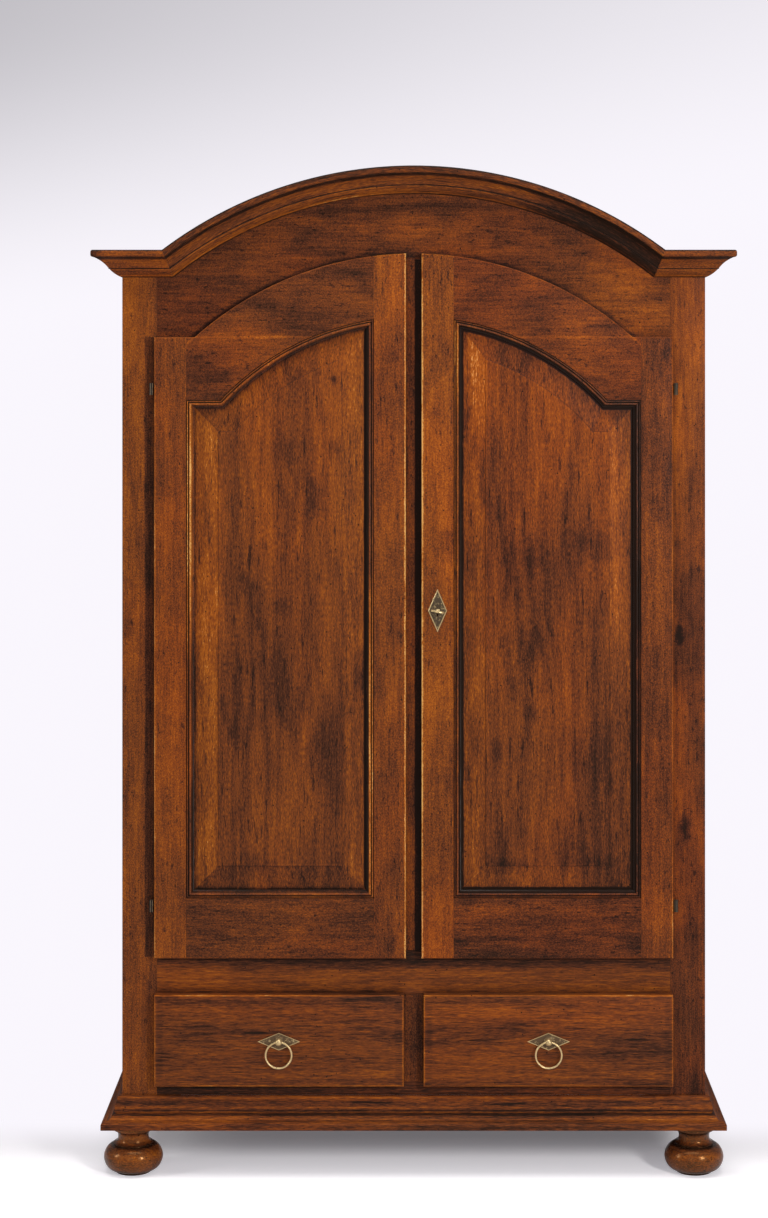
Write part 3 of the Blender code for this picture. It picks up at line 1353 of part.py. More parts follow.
def make_ring(name, x):
    """A ring of round wire that hangs from the middle of the eye."""
    sections = []
    for step in range(ROUND_SIDES):
        turn = 2 * math.pi * step / ROUND_SIDES
        outward = Vector((math.sin(turn), 0, math.cos(turn)))
        center = Vector((x, PULL_Y, PULL_Z - RING_RADIUS)) + outward * RING_RADIUS
        wire = []
        for side in range(PIN_SIDES // 2):
            angle = 4 * math.pi * side / PIN_SIDES
            lift = Vector((0, math.sin(angle), 0))
            wire.append(center + (outward * math.cos(angle) + lift) * RING_WIRE_RADIUS)
        sections.append(wire)
    return lofted(name, sections, ring=True)


def main():
    make_base()
    front_posts = make_posts()
    make_side_panels()
    make_front_frame(front_posts)
    make_drawer_divider()
    make_boards()
    make_cornice()
    door_hinges = {word: make_door(word, side) for word, side in SIDES.items()}
    make_hinges(front_posts, door_hinges)
    for word, side in SIDES.items():
        finish(front_posts[word], WALNUT, (side * HALF_WIDTH, FRONT, FOOT_HEIGHT))
        make_drawer(word, side)
    make_lock(door_hinges["right"])
    make_turn_button(door_hinges["left"])
    bpy.context.view_layer.update()
    solids = [piece for piece in PIECES.objects if piece.type == "MESH"]
    print(len(solids), "pieces")
    print("door hinge axes at x", HINGE_X, "y", HINGE_Y)
    print("key axis at", (KEY_X, KEY_HEIGHT), "button axis at", (-BUTTON_X, KEY_HEIGHT))
    print("ring axes at x", PULL_X, "y", PULL_Y, "z", PULL_Z)
    print("ratio of bolt travel to key turn", BOLT_TRAVEL / (math.pi / 2))


main()
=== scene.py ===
# %% [markdown]
# # A wardrobe with arched doors
# This lesson dresses a wardrobe for a still picture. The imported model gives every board, hinge and
# drawer in its real size and place. Here each board gets a stained walnut finish, and the pieces
# that a turner, a moulding plane or a brass founder would make are modelled again, finer than the
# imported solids. First the model is loaded, because every later size is read from it.

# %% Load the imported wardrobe
import json
import math

import bpy
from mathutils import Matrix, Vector

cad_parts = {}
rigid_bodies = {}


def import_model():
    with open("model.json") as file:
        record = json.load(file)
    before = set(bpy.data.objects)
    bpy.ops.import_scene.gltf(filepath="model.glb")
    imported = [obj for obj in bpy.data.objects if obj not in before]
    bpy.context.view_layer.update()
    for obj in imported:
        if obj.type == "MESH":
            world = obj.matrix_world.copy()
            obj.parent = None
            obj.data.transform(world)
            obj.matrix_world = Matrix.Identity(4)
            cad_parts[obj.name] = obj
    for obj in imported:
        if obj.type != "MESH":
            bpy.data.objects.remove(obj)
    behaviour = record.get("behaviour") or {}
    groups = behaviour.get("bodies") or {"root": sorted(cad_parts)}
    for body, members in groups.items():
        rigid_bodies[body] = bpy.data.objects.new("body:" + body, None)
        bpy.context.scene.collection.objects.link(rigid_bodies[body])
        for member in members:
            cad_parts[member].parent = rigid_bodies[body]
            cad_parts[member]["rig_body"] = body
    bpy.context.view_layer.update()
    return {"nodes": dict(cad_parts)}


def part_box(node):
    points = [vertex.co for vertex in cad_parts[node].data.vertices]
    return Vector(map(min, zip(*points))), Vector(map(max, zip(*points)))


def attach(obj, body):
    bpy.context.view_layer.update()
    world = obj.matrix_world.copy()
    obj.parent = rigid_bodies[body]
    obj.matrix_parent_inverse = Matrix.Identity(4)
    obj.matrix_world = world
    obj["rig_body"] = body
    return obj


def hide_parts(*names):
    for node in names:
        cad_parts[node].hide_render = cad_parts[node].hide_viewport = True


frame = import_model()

nodes = frame["nodes"]
SIDES = (("left", -1), ("right", 1))

# %% [markdown]
# ## The camera
# The photograph was taken from straight ahead at eye height, with the verticals kept parallel. That
# is a camera that looks level, with its picture plane shifted down. The long side of the picture is
# the lens's sensor width, so the lens and the shift follow from the scale at the front of the case.

# %% Stand the camera where the photographer stood
PICTURE = (768, 1218)               # pixels
SCALE = 470.2                       # pixels in a metre at the front of the case
CASE_FRONT = -0.25                  # y of the posts' front faces
DISTANCE = 5.5                      # camera to the front of the case
EYE_LEVEL = 1.763
VANISHING_POINT = (413.7, 344)      # pixel that the camera looks at

camera_data = bpy.data.cameras.new("camera")
camera_data.sensor_width = 36
camera_data.lens = SCALE * DISTANCE / max(PICTURE) * camera_data.sensor_width
camera_data.shift_x = (PICTURE[0] / 2 - VANISHING_POINT[0]) / max(PICTURE)
camera_data.shift_y = (VANISHING_POINT[1] - PICTURE[1] / 2) / max(PICTURE)
camera = bpy.data.objects.new("camera", camera_data)
camera.location = (0, CASE_FRONT - DISTANCE, EYE_LEVEL)
camera.rotation_euler = (math.radians(90), 0, 0)
bpy.context.scene.collection.objects.link(camera)
bpy.context.scene.camera = camera
bpy.context.scene.view_settings.view_transform = "Standard"
print(f"lens {camera_data.lens:.1f} mm, shift {camera_data.shift_x:.4f} {camera_data.shift_y:.4f}")

# %% [markdown]
# ## Writing materials as sums
# A finish is arithmetic on noise: this stain times that grain, minus those pores. Written with node
# calls alone it is long and hard to read, so one small class wraps a socket and lets Python's own
# signs add the Math nodes. Every other node comes from one method, which sets the node's settings
# first and then its sockets.

# %% A socket that Python can count with
class Wire:
    """An output socket of a material, used as a number."""

    def __init__(self, finish, socket):
        self.finish, self.socket = finish, socket

    def sum(self, operation, *values):
        return self.finish.node("Math", dict(enumerate(values)), operation=operation)

    def __add__(self, other): return self.sum("ADD", self, other)
    def __radd__(self, other): return self.sum("ADD", other, self)
    def __sub__(self, other): return self.sum("SUBTRACT", self, other)
    def __rsub__(self, other): return self.sum("SUBTRACT", other, self)
    def __mul__(self, other): return self.sum("MULTIPLY", self, other)
    def __truediv__(self, other): return self.sum("DIVIDE", self, other)

    def least(self, other): return self.sum("MINIMUM", self, other)
    def most(self, other): return self.sum("MAXIMUM", self, other)
    def size(self): return self.sum("ABSOLUTE", self)
    def floor(self): return self.sum("FLOOR", self)
    def wave(self): return self.sum("SINE", self)

    def reach(self, other):
        """The length of the line from nought to a point this far along and other far up."""
        square = self * self + other * other
        return square.sum("SQRT", square)

    def fade(self, start, end):
        """0 at start, 1 at end, with soft ends; start may be the larger."""
        rising = start < end
        return self.finish.node("MapRange", {
            "Value": self, "From Min": min(start, end), "From Max": max(start, end),
            "To Min": float(not rising), "To Max": float(rising),
        }, interpolation_type="SMOOTHSTEP")


# %% A material that hands out nodes
class Finish:
    """A material, or the world, under construction."""

    def __init__(self, name, color, kind="materials"):
        self.material = getattr(bpy.data, kind).new(name)
        self.material.use_nodes = True
        if kind == "materials":
            self.material.diffuse_color = (*color, 1)
        self.tree = self.material.node_tree
        self.tree.nodes.clear()
        self.known = {}

    def node(self, kind, sockets=None, out=0, **settings):
        made = self.tree.nodes.new("ShaderNode" + kind)
        for name, value in settings.items():
            setattr(made, name, value)
        for name, value in (sockets or {}).items():
            if isinstance(value, Wire):
                self.tree.links.new(value.socket, made.inputs[name])
            else:
                made.inputs[name].default_value = value
        return Wire(self, made.outputs[out])

    def split(self, vector):
        """The three numbers of a vector."""
        return [self.node("SeparateXYZ", {0: vector}, out=axis) for axis in "XYZ"]

    def place(self):
        """Object coordinates, in metres, as a vector and as three numbers."""
        here = self.node("TexCoord", out="Object")
        return here, self.split(here)

    def vector(self, x, y, z):
        return self.node("CombineXYZ", {0: x, 1: y, 2: z})

    def noise(self, where, scale, detail=2, roughness=0.5):
        return self.node("TexNoise", {
            "Vector": where, "Scale": scale, "Detail": detail, "Roughness": roughness,
        })

    def mix(self, share, below, above, blend="MIX"):
        return self.node("Mix", {0: share, 6: below, 7: above}, 2, data_type="RGBA", blend_type=blend)

    def ramp(self, value, stops):
        """The colour at a value, from (place, colour) stops."""
        ramp = self.node("ValToRGB", {0: value})
        elements = ramp.socket.node.color_ramp.elements
        while len(elements) < len(stops):
            elements.new(1)
        for stop, (place, color) in zip(elements, stops):
            stop.position = place
            stop.color = (*color, 1)
        return ramp

    def end(self, last, kind="Material"):
        output = self.tree.nodes.new("ShaderNodeOutput" + kind)
        self.tree.links.new(last.socket, output.inputs["Surface"])
        return self.material

    def surface(self, color, roughness, height, shine, **more):
        """Close the material with one shader. height in metres feeds its bump."""
        return self.end(self.node("BsdfPrincipled", {
            "Base Color": color, "Roughness": roughness, "Specular IOR Level": shine,
            "Normal": self.node("Bump", {"Height": height, "Distance": 1}), **more,
        }))


print("socket class ready")

# %% [markdown]
# ## The floor, the background and the lamps
# The photograph is a studio one: a white sweep, a strong soft lamp before the wardrobe on the right,
# a weaker one on the left, a little light from the front, a wide lamp overhead, and a soft shadow on
# the floor. The floor is a real white surface near the feet, so that it takes the shadow, and melts
# into the white of the background further out.

# %% Lay the floor
BACKGROUND = (0.955, 0.925, 0.985, 1)
# Painted light: a glow that only the camera sees lifts the floor's shadow
FLOOR_SHADOW_LIFT = 0.36                         # light that the picture's own veil adds to the shadow
MELTS, ENDS = 0.6, 1.5              # where the real floor starts to melt away, and where it ends


def lay_floor():
    bpy.ops.object.select_all(action="DESELECT")
    bpy.ops.mesh.primitive_circle_add(vertices=96, radius=9, fill_type="NGON", location=(0, 0, 0))
    floor = bpy.context.object
    floor.name = "studio_floor"
    finish = Finish("studio_white", (0.9, 0.9, 0.9))
    here, (x, y, z) = finish.place()
    behind = x.size().fade(0.56, 0.72) * y.fade(-0.2, 0.12)
    near = (x / 1.5).reach(y / 1.2).fade(ENDS, MELTS) * (1 - behind)
    seen = finish.node("LightPath", out="Is Camera Ray")
    paper = finish.node("BsdfDiffuse", {"Color": (0.9, 0.885, 0.91, 1)})
    # painted light on the floor's shadow, strongest towards the front
    veil = y.fade(0.02, -0.24) * 0.62 + 0.38
    haze = finish.node("Emission", {"Color": (0.95, 0.93, 1, 1), "Strength": seen * veil * FLOOR_SHADOW_LIFT})
    lit = finish.node("AddShader", {0: paper, 1: haze})
    glow = finish.node("Emission", {"Color": BACKGROUND})
    finish.end(finish.node("MixShader", {0: (1 - near) * seen, 1: lit, 2: glow}))
    floor.data.materials.append(finish.material)
    return floor


floor = lay_floor()
print("floor laid,", len(floor.data.vertices), "corners")

# %% Hang the background
def hang_background():
    """White to the camera and, faintly, to gloss; the paper dims a little high up and to the left."""
    finish = Finish("studio", (1, 1, 1), "worlds")
    bpy.context.scene.world = finish.material
    sideways, _, up = finish.split(finish.node("TexCoord", out="Generated"))
    dimmed = (up - sideways * 0.15).fade(0.03, 0.16) * (0.29 - sideways.most(-0.2).least(0.2) * 0.9)
    camera_ray, glass_ray, gloss_ray = (
        finish.node("LightPath", out=f"Is {ray} Ray") for ray in ("Camera", "Transmission", "Glossy"))
    shine = gloss_ray * 0.12 + camera_ray.most(glass_ray)
    dim = finish.node("Background", {"Color": (0.93, 0.96, 1, 1), "Strength": 0.2})
    white = finish.node("Background", {"Color": BACKGROUND, "Strength": 1 - dimmed})
    finish.end(finish.node("MixShader", {0: shine, 1: dim, 2: white}), "World")


hang_background()
print("background hung")

# %% Place the soft lamps
def soft_lamp(name, place, aim, width, height, watts):
    data = bpy.data.lights.new(name, "AREA")
    data.shape = "RECTANGLE"
    data.size, data.size_y = width, height
    data.energy = watts
    data.color = (1, 0.985, 0.96)
    lamp = bpy.data.objects.new(name, data)
    lamp.location = place
    lamp.rotation_euler = (Vector(aim) - Vector(place)).to_track_quat("-Z", "Y").to_euler()
    bpy.context.scene.collection.objects.link(lamp)
    print(name, watts, "W")


soft_lamp("right_box", (2.9, -4.4, 2.4), (0, -0.2, 1.2), 0.7, 1, 150)
soft_lamp("left_box", (-4.2, -1.6, 2), (0, -0.25, 1.2), 0.6, 1.4, 46)
soft_lamp("front_fill", (-1.2, -6.5, 2.6), (0, 0, 1), 2.4, 1.8, 26)
soft_lamp("top_box", (0, -0.9, 4.4), (0, -0.6, 0), 3.4, 2.6, 130)

# %% [markdown]
# ## Stained walnut
# The wardrobe is solid wood under a red-brown stain and wax. Close up it shows fine dark pores that
# run with the grain, soft stripes from the growth rings, worm holes, and smoky clouds where the
# stain soaked in. The whole finish is one recipe. Each board gets its own place in the noise and its
# own grain direction, so no two boards match, as on the real one. Recesses are darker with old wax
# and painted shade, and arrises are paler with wear and painted highlights; both follow a distance
# that is worked out from the board's own size.

# %% The stain's colours, from soaked to worn; the palest one also serves painted highlights
STAIN = (
    (0, (0.016, 0.0078, 0.0046)), (0.24, (0.066, 0.0205, 0.0092)), (0.46, (0.15, 0.0396, 0.0102)),
    (0.68, (0.262, 0.07, 0.0086)), (0.86, (0.39, 0.116, 0.0115)), (1, (0.64, 0.36, 0.11)),
)
REDDER = (1.03, 0.88, 0.88, 1)      # what the stain is multiplied by where it took more red
GROUND = 0.478                      # the stain's level on an untouched board
PALEST = 0.84                       # the highest level that wood reaches without wear
# How far each of these moves the level
CLOUDS, STREAKS, RINGS, GRIT, FLECKS, PORES, HOLES = 0.92, 0.55, 0.035, 1.45, 0.28, 0.12, 0.55
MIDDLE = 1.1                        # the height where fall changes nothing
ROUND = 0.6                         # how round the smoky clouds of most boards are
WORM_HOLES = ((34, 0.066, 0.47), (62, 0.11, 0.5))         # cells in a metre, size, rarity


# %% How a board's grain lies
def grain_space(axes, grain, seed, polar=None):
    """Coordinates across, into and along the grain, shifted so that each board is its own piece of
    wood. polar is the height of the centre that the grain runs round, where it does."""
    x, y, z = axes
    if polar:
        lie = (x.reach(z - polar), y, x.sum("ARCTAN2", x, z - polar) * 0.8)
    else:
        lie = {"X": (z, y, x), "Y": (x, z, y), "Z": (x, y, z)}[grain]
    return [part + seed * shift for part, shift in zip(lie, (3.17, 1.31, 5.73))]


def once(distance, axes):
    """A distance's value in one material; a distance that is used twice is worked out once."""
    known = axes[0].finish.known
    if distance not in known:
        known[distance] = distance(axes)
    return known[distance]


# %% The recipe for one board
def walnut(name, grain="Z", seed=1, tone=0, fall=0, figure=1, smoke=0.16, touches=(), marks=(),
           polar=None, gloss=0.42, shine=0.06, red=0, drawn=ROUND, bite=1, tint=(1, 1, 1)):
    """Stained wood. tone lifts the whole board and fall lifts it for each metre of height. figure is
    how lively the growth rings are, smoke how dark the smoky clouds are, and drawn how round: small
    numbers draw them out. bite is how much the coarse grain shows, and red warms the stain. touches
    are (distance, far, near, change) for dirty recesses, worn arrises, painted shade and painted
    highlights, with a middle at the end where they reach out from it both ways. marks are smoky
    spots, (x, z, half width, half height) in millimetres and a depth."""
    finish = Finish(name, (0.3, 0.12, 0.05))
    here, axes = finish.place()
    across, depth, along = grain_space(axes, grain, seed, polar)
    fibre = finish.vector(across, depth, along * 0.05)
    board = finish.vector(across, depth * 0.6, along * min(0.34, drawn * 0.8) * max(1, drawn * 1.5))
    wander = finish.noise(board, 7) - 0.5
    rings = across * 150 + depth * 120 + wander * 20 * figure + finish.noise(fibre, 30, 1) * 5
    streaks = finish.noise(fibre, 230, 3, 0.62)
    pores = finish.noise(finish.vector(across, depth, along * 0.035), 900, 1).fade(0.58, 0.72)
    clouds = finish.noise(board, 10, 5, 0.62)
    haze = finish.noise(finish.vector(across * 1.1 + 4, depth, along * drawn), 15, 5, 0.68)
    dash = drawn / ROUND
    grit = finish.noise(finish.vector(across, depth, along * 0.45 * dash), 520, 3, 0.75)
    flecks = finish.noise(finish.vector(across, depth, along * 0.22 * dash), 150, 2, 0.55)
    level = GROUND + tone + (clouds - 0.5) * CLOUDS + rings.wave() * RINGS * figure
    level = level + (streaks - 0.5) * STREAKS - haze.fade(0.52, 0.8) * smoke - (grit - 0.5) * GRIT * bite
    level = level + (axes[2] - MIDDLE) * fall - pores * PORES - flecks.fade(0.62, 0.72) * FLECKS * bite
    for *spot, deep in marks:
        x, z, wide, high = (millimetres / 1000 for millimetres in spot)
        ragged = (finish.noise(here, 55, 4, 0.7) - 0.5) * 1.5
        away = ((axes[0] - x) / wide).reach((axes[2] - z) / high)
        level = level - (away + ragged).fade(1.15, 0.1) * deep
    level = level.least(PALEST)
    holes = 0
    for scale, size, rarity in WORM_HOLES:
        cells = finish.node("TexVoronoi", {"Vector": here, "Scale": scale})
        chosen = finish.noise(here, scale * 0.2, 0).fade(rarity, rarity + 0.05)
        holes = cells.fade(size, size * 0.55) * chosen + holes
    level = level - holes * HOLES
    crumbs = finish.noise(board, 70, 3) - 0.5
    for distance, far, near, change, *middle in touches:
        away = once(distance, axes)
        if middle:
            away = (away - middle[0]).size()
        level = level + (crumbs * ((far - near) * 0.9) + away).fade(far, near) * change
    stained = finish.ramp(level.most(0).least(1), STAIN)
    roughness = gloss + (streaks - 0.5) * 0.16 + pores * 0.18 + haze * 0.08
    height = streaks * 0.0001 - pores * 0.00014 - holes * 0.0008 + finish.noise(board, 40) * 0.0009
    color = finish.mix(finish.noise(board, 5, 3).fade(0.4, 0.72) + red, stained, REDDER, "MULTIPLY")
    return finish.surface(color, roughness.most(0.08).least(0.95), height, shine,
                          **{"Specular Tint": (*tint, 1)})


def dress(node, material):
    """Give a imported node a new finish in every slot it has."""
    for slot in nodes[node].material_slots:
        slot.material = material


print("walnut recipe ready")

# %% [markdown]
# ## Drawing helpers
# Everything that is made new starts as a line drawn point by point, because a moulding, a foot and a
# bead are all one section that is spun, extruded or repeated. A finished piece is closed, smoothed
# all but its arrises, dressed and put on its body.

# %% Draw a section point by point
def leave():
    bpy.ops.object.mode_set(mode="OBJECT")


def pick(*pieces):
    """Select some pieces in object mode, the first of them active."""
    if bpy.context.object and bpy.context.object.mode != "OBJECT":
        leave()
    bpy.ops.object.select_all(action="DESELECT")
    for piece in reversed(pieces):
        piece.select_set(True)
        bpy.context.view_layer.objects.active = piece


def edit(piece, select="SELECT"):
    pick(piece)
    bpy.ops.object.mode_set(mode="EDIT")
    bpy.ops.mesh.select_mode(type="VERT")
    bpy.ops.mesh.select_all(action=select)


def extrude(way):
    bpy.ops.mesh.extrude_region_move(TRANSFORM_OT_translate={"value": way})


def pencil(name, points):
    """A line through points, left in edit mode with all of it selected."""
    pick()
    bpy.ops.mesh.primitive_plane_add(size=0.01, location=points[0])
    line = bpy.context.object
    line.name = name
    bpy.ops.object.transform_apply(location=True, rotation=True, scale=True)
    edit(line)
    bpy.ops.mesh.merge(type="CENTER")
    bpy.ops.mesh.select_all(action="SELECT")
    for start, end in zip(points, points[1:]):
        extrude(Vector(end) - Vector(start))
    bpy.ops.mesh.select_all(action="SELECT")
    return line


def close_up(piece, angle=35):
    """Merge doubles, turn the faces outwards and smooth all but the arrises."""
    edit(piece)
    bpy.ops.mesh.remove_doubles(threshold=0.000005)
    bpy.ops.mesh.normals_make_consistent(inside=False)
    leave()
    bpy.ops.object.shade_smooth_by_angle(angle=math.radians(angle))
    return piece


def hand_over(piece, material, body, node):
    """Dress a finished piece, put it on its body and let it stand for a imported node."""
    piece.data.materials.clear()
    piece.data.materials.append(material)
    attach(piece, body)
    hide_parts(node)
    size = [round(v * 1000) for v in piece.dimensions]
    print(piece.name, "replaces", node, "size", size, "mm,", len(piece.data.polygons), "faces")


def quarter(start, end, corner, steps=8):
    """Points after start on the quarter ellipse that leaves it towards the corner."""
    points = []
    for step in range(1, steps + 1):
        turn = math.pi / 2 * step / steps
        points.append(tuple(
            a + (c - a) * math.sin(turn) + (b - c) * (1 - math.cos(turn))
            for a, b, c in zip(start, end, corner)
        ))
    return points


print("drawing helpers ready")

# %% [markdown]
# ## Boards of the case and the doors
# The posts and stiles stand with their grain upright, and the rails, drawer fronts and frieze lie
# with theirs level. A joiner takes the sharp arris off every edge that a hand can reach, once the
# frame is glued up, and those rounded arrises catch the light all round the doors and drawers. So
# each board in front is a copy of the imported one, merged into whole faces, with its outer arrises
# bevelled. The seams between stile and rail stay sharp. Each tone is matched to the photograph.

# %% Ease the arrises of a packed board
ARCH_CENTER = 1.2594                # height of the centre of every arch
DOOR_ARCH = 0.6956                  # radius of the top of the doors
DOOR_INNER, DOOR_OUTER = 0.0165, 0.55           # x of a door's sides
DOOR_FOOT, DOOR_SHOULDER = 0.461, 1.7775        # z of its foot and of its level shoulder
SILL_FOOT = 0.38
EASE_WIDTH = 0.002
NEAR = 0.0004                       # how close counts as at a place


def copy_packed(node):
    """A copy of a packed board, with doubles merged and flat faces made whole."""
    pick()
    board = bpy.data.objects.new("eased_" + node, nodes[node].data.copy())
    bpy.context.scene.collection.objects.link(board)
    edit(board)
    bpy.ops.mesh.customdata_custom_splitnormals_clear()
    bpy.ops.mesh.remove_doubles(threshold=0.00001)
    bpy.ops.mesh.dissolve_limited(angle_limit=math.radians(0.5))
    leave()
    return board


def ease(board, chosen):
    """Round the front arrises whose middles chosen(x, z) picks, x being measured from the centre."""
    edit(board, "DESELECT")
    leave()
    mesh = board.data
    faces = {}
    for face in mesh.polygons:
        for key in face.edge_keys:
            faces.setdefault(key, []).append(face.normal.y)
    for edge in mesh.edges:
        turned = faces[edge.key]
        middle = (mesh.vertices[edge.vertices[0]].co + mesh.vertices[edge.vertices[1]].co) / 2
        edge.select = min(turned) < -0.9 and abs(max(turned)) < 0.3 and chosen(abs(middle.x), middle.z)
    print("  arrises eased:", sum(edge.select for edge in mesh.edges))
    bpy.ops.object.mode_set(mode="EDIT")
    bpy.ops.mesh.select_mode(type="EDGE")
    bpy.ops.mesh.bevel(offset=EASE_WIDTH, segments=3, affect="EDGES")
    close_up(board, 30)


def at(value, *places):
    return any(abs(value - place) < NEAR for place in places)


def door_edge(x, z):
    arch = z > 1.7 and abs(math.hypot(x, z - ARCH_CENTER) - DOOR_ARCH) < 3 * NEAR
    return arch or at(x, DOOR_INNER, DOOR_OUTER) or at(z, DOOR_FOOT, DOOR_SHOULDER)


def drawer_edge(x, z):
    return at(x, 0.021, DOOR_OUTER) or at(z, 0.19, 0.384)


def post_edge(x, z):
    return at(x, 0.62, 0.546) and z > 0.17


DOOR_PARTS = ("outer_stile", "inner_stile", "top_rail", "bottom_rail")
EASED = {"sill_rail": lambda x, z: at(z, SILL_FOOT), "center_post": lambda x, z: at(x, 0.0285)}
for word, _ in SIDES:
    EASED.update({f"{word}_door_{part}": door_edge for part in DOOR_PARTS})
    EASED.update({word + "_drawer_front": drawer_edge, "post_front_" + word: post_edge})
print("boards to ease:", len(EASED))

# %% Distances that wear and dirt follow
FRONT_EDGE = -0.2735                # a little behind the faces of doors and drawers


def board_edge(node):
    """Metres to the nearest edge of a board's front, seen square on."""
    low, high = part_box(node)
    return lambda axes: (axes[0] - low[0]).least(high[0] - axes[0]).least(
        (axes[2] - low[2]).least(high[2] - axes[2]))


def above_doors(axes):
    """Metres above the arched top of the doors."""
    return axes[0].reach((axes[2] - ARCH_CENTER).most(0)) - DOOR_ARCH


def away_from(axis):
    """A coordinate without its sign, as a distance."""
    return lambda axes: axes[axis].size()


def arris(distance, place=0):
    """Metres from a front arris, which lies where distance is place; the board's side face stays dark."""
    return lambda axes: (distance(axes) - place).size().most(axes[1] - FRONT_EDGE)


def left_door_shadow_on_post(axes):
    """Metres outside the left door's edge, on the post, where the door's painted shadow lies; large above and
    below the door.
    """
    x, _, z = axes
    return (-DOOR_OUTER - x).most((DOOR_FOOT - z) * 20).most((z - DOOR_SHOULDER) * 20)


# Paler front arrises of the doors: wear, and a painted highlight where the eased arris meets the lamps
OUTER_WEAR_AND_HIGHLIGHT = (arris(away_from(0), DOOR_OUTER), 0.0042, 0.0012, 0.3)
INNER_WEAR_AND_HIGHLIGHT = (arris(away_from(0), DOOR_INNER), 0.005, 0.002, 0.48)
FOOT_WEAR_AND_HIGHLIGHT = (arris(away_from(2), DOOR_FOOT), 0.004, 0.001, 0.1)
ARCH_WEAR_AND_HIGHLIGHT = (arris(above_doors), 0.004, 0.0008, 0.2)
SHOULDER_WEAR_AND_HIGHLIGHT = (arris(away_from(2), DOOR_SHOULDER), 0.004, 0.001, 0.14)
TOUCHES = {
    # painted shadow: the left door's shadow on the post beside it
    "post_front_left": [(left_door_shadow_on_post, 0.024, 0.02, -0.26)],
    # painted shadow: the right door's edge shades the right half of the centre post
    "center_post": [(lambda axes: axes[0], 0.001, 0.004, -0.5)],
    # painted shade in the crease above the doors' arched tops
    "frieze": [(above_doors, 0.012, 0.001, -0.3)],
    # painted shade on the sill under the doors' feet, and in the crease along its lower edge
    "sill_rail": [(away_from(2), 0.034, 0.006, -0.3, DOOR_FOOT),
                  (away_from(2), 0.012, 0.002, -0.24, SILL_FOOT)],
}
for word, _ in SIDES:
    worn = ([OUTER_WEAR_AND_HIGHLIGHT, SHOULDER_WEAR_AND_HIGHLIGHT], [INNER_WEAR_AND_HIGHLIGHT, ARCH_WEAR_AND_HIGHLIGHT], [ARCH_WEAR_AND_HIGHLIGHT, SHOULDER_WEAR_AND_HIGHLIGHT], [FOOT_WEAR_AND_HIGHLIGHT])
    TOUCHES.update(zip([f"{word}_door_{part}" for part in DOOR_PARTS], worn))
    edge = board_edge(word + "_drawer_front")
    # the drawer front's arris is paler with wear and a painted highlight
    TOUCHES[word + "_drawer_front"] = [(arris(edge), 0.0042, 0.001, 0.32),
                                       (edge, 0.01, 0.003, -0.07, 0.012)]
print("boards with wear or dirt:", len(TOUCHES))

# %% Dress the boards
BOARDS = {
    # node: (grain, tone, tone for each metre of height, red)
    "post_front_left": ("Z", 0.01, 0.05, -0.2), "post_front_right": ("Z", -0.04, 0.16, 0.3),
    "post_rear_left": ("Z", -0.02, 0, 0), "post_rear_right": ("Z", -0.02, 0, 0),
    "side_panel_left": ("Z", -0.02, 0, 0), "side_panel_right": ("Z", -0.01, 0, 0),
    "frieze": ("X", -0.11, 0, 0.2), "sill_rail": ("X", 0.04, 0, -0.3), "center_post": ("Z", -0.08, 0, 0.4),
    "drawer_divider": ("Z", -0.16, 0, 0), "roof": ("Y", -0.04, 0, 0), "base_board": ("X", -0.28, 0, 0),
    "left_door_outer_stile": ("Z", 0.03, 0, 0.1), "left_door_inner_stile": ("Z", 0, 0, 0.1),
    "right_door_inner_stile": ("Z", 0.04, 0, 0.1), "right_door_outer_stile": ("Z", -0.09, 0, 0.4),
    "left_door_top_rail": ("X", -0.11, 0, 0.1), "right_door_top_rail": ("X", -0.15, 0, 0.7),
    "left_door_bottom_rail": ("X", -0.14, 0, -0.2), "right_door_bottom_rail": ("X", -0.2, 0, -0.1),
    "left_drawer_front": ("X", -0.08, 0, -0.3), "right_drawer_front": ("X", -0.09, 0, -0.2),
}
MARKS = {
    "post_front_right": [(565, 1145, 12, 30, 0.55), (576, 735, 16, 40, 0.4),
                         (583, 1250, 60, 300, 0.12), (583, 1680, 60, 220, -0.06)],
    "left_door_top_rail": [(-440, 1700, 70, 50, 0.2), (-260, 1800, 100, 30, 0.12)],
    "right_door_top_rail": [(440, 1700, 80, 60, -0.06)],
    "frieze": [(430, 1860, 170, 100, -0.18), (-50, 2050, 220, 20, 0.1),
               (0, 2000, 260, 70, -0.1), (-420, 1860, 160, 100, 0.05)],
    "post_front_left": [(-585, 1250, 60, 300, 0.08), (-585, 1680, 60, 220, -0.08)],
    "right_door_bottom_rail": [(280, 520, 200, 60, 0.08)],
}
# How much smoke there is, how round it is, and how much the coarse grain shows
PLAIN, LEVEL_SMOKE, SPECKLED = (0.2, 0.8, 1), (0.6, 0.15, 0.8), (0.14, 1.1, 0.9)
FIGURES = {
    **dict.fromkeys(("left_drawer_front", "right_drawer_front", "sill_rail", "base_board"), LEVEL_SMOKE),
    **dict.fromkeys(("frieze", "left_door_top_rail", "right_door_top_rail", "post_front_right"), SPECKLED),
}
for number, (node, (grain, tone, fall, red)) in enumerate(BOARDS.items()):
    smoke, drawn, bite = FIGURES.get(node, PLAIN)
    wood = walnut("walnut_" + node, grain, 1 + number * 0.37, tone, fall, smoke=smoke, drawn=drawn,
                  bite=bite, red=red, touches=TOUCHES.get(node, ()), marks=MARKS.get(node, ()))
    if node in EASED:
        board = copy_packed(node)
        ease(board, EASED[node])
        hand_over(board, wood, nodes[node]["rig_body"], node)
    else:
        dress(node, wood)

# %% [markdown]
# ## The turned feet
# Each foot is one block turned on a lathe: a pad under the plinth, a hollow neck, a flattened ball
# with a fine groove cut where it begins, and a small shoe. A lathe is what Spin does: half the
# section is drawn once, from the axis out and back to it, and spun a whole turn.

# %% Turn the feet
PLINTH_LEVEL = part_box("base_moulding_front")[0].z
HAIR = 0.0003                       # gap between a piece and what it stands against


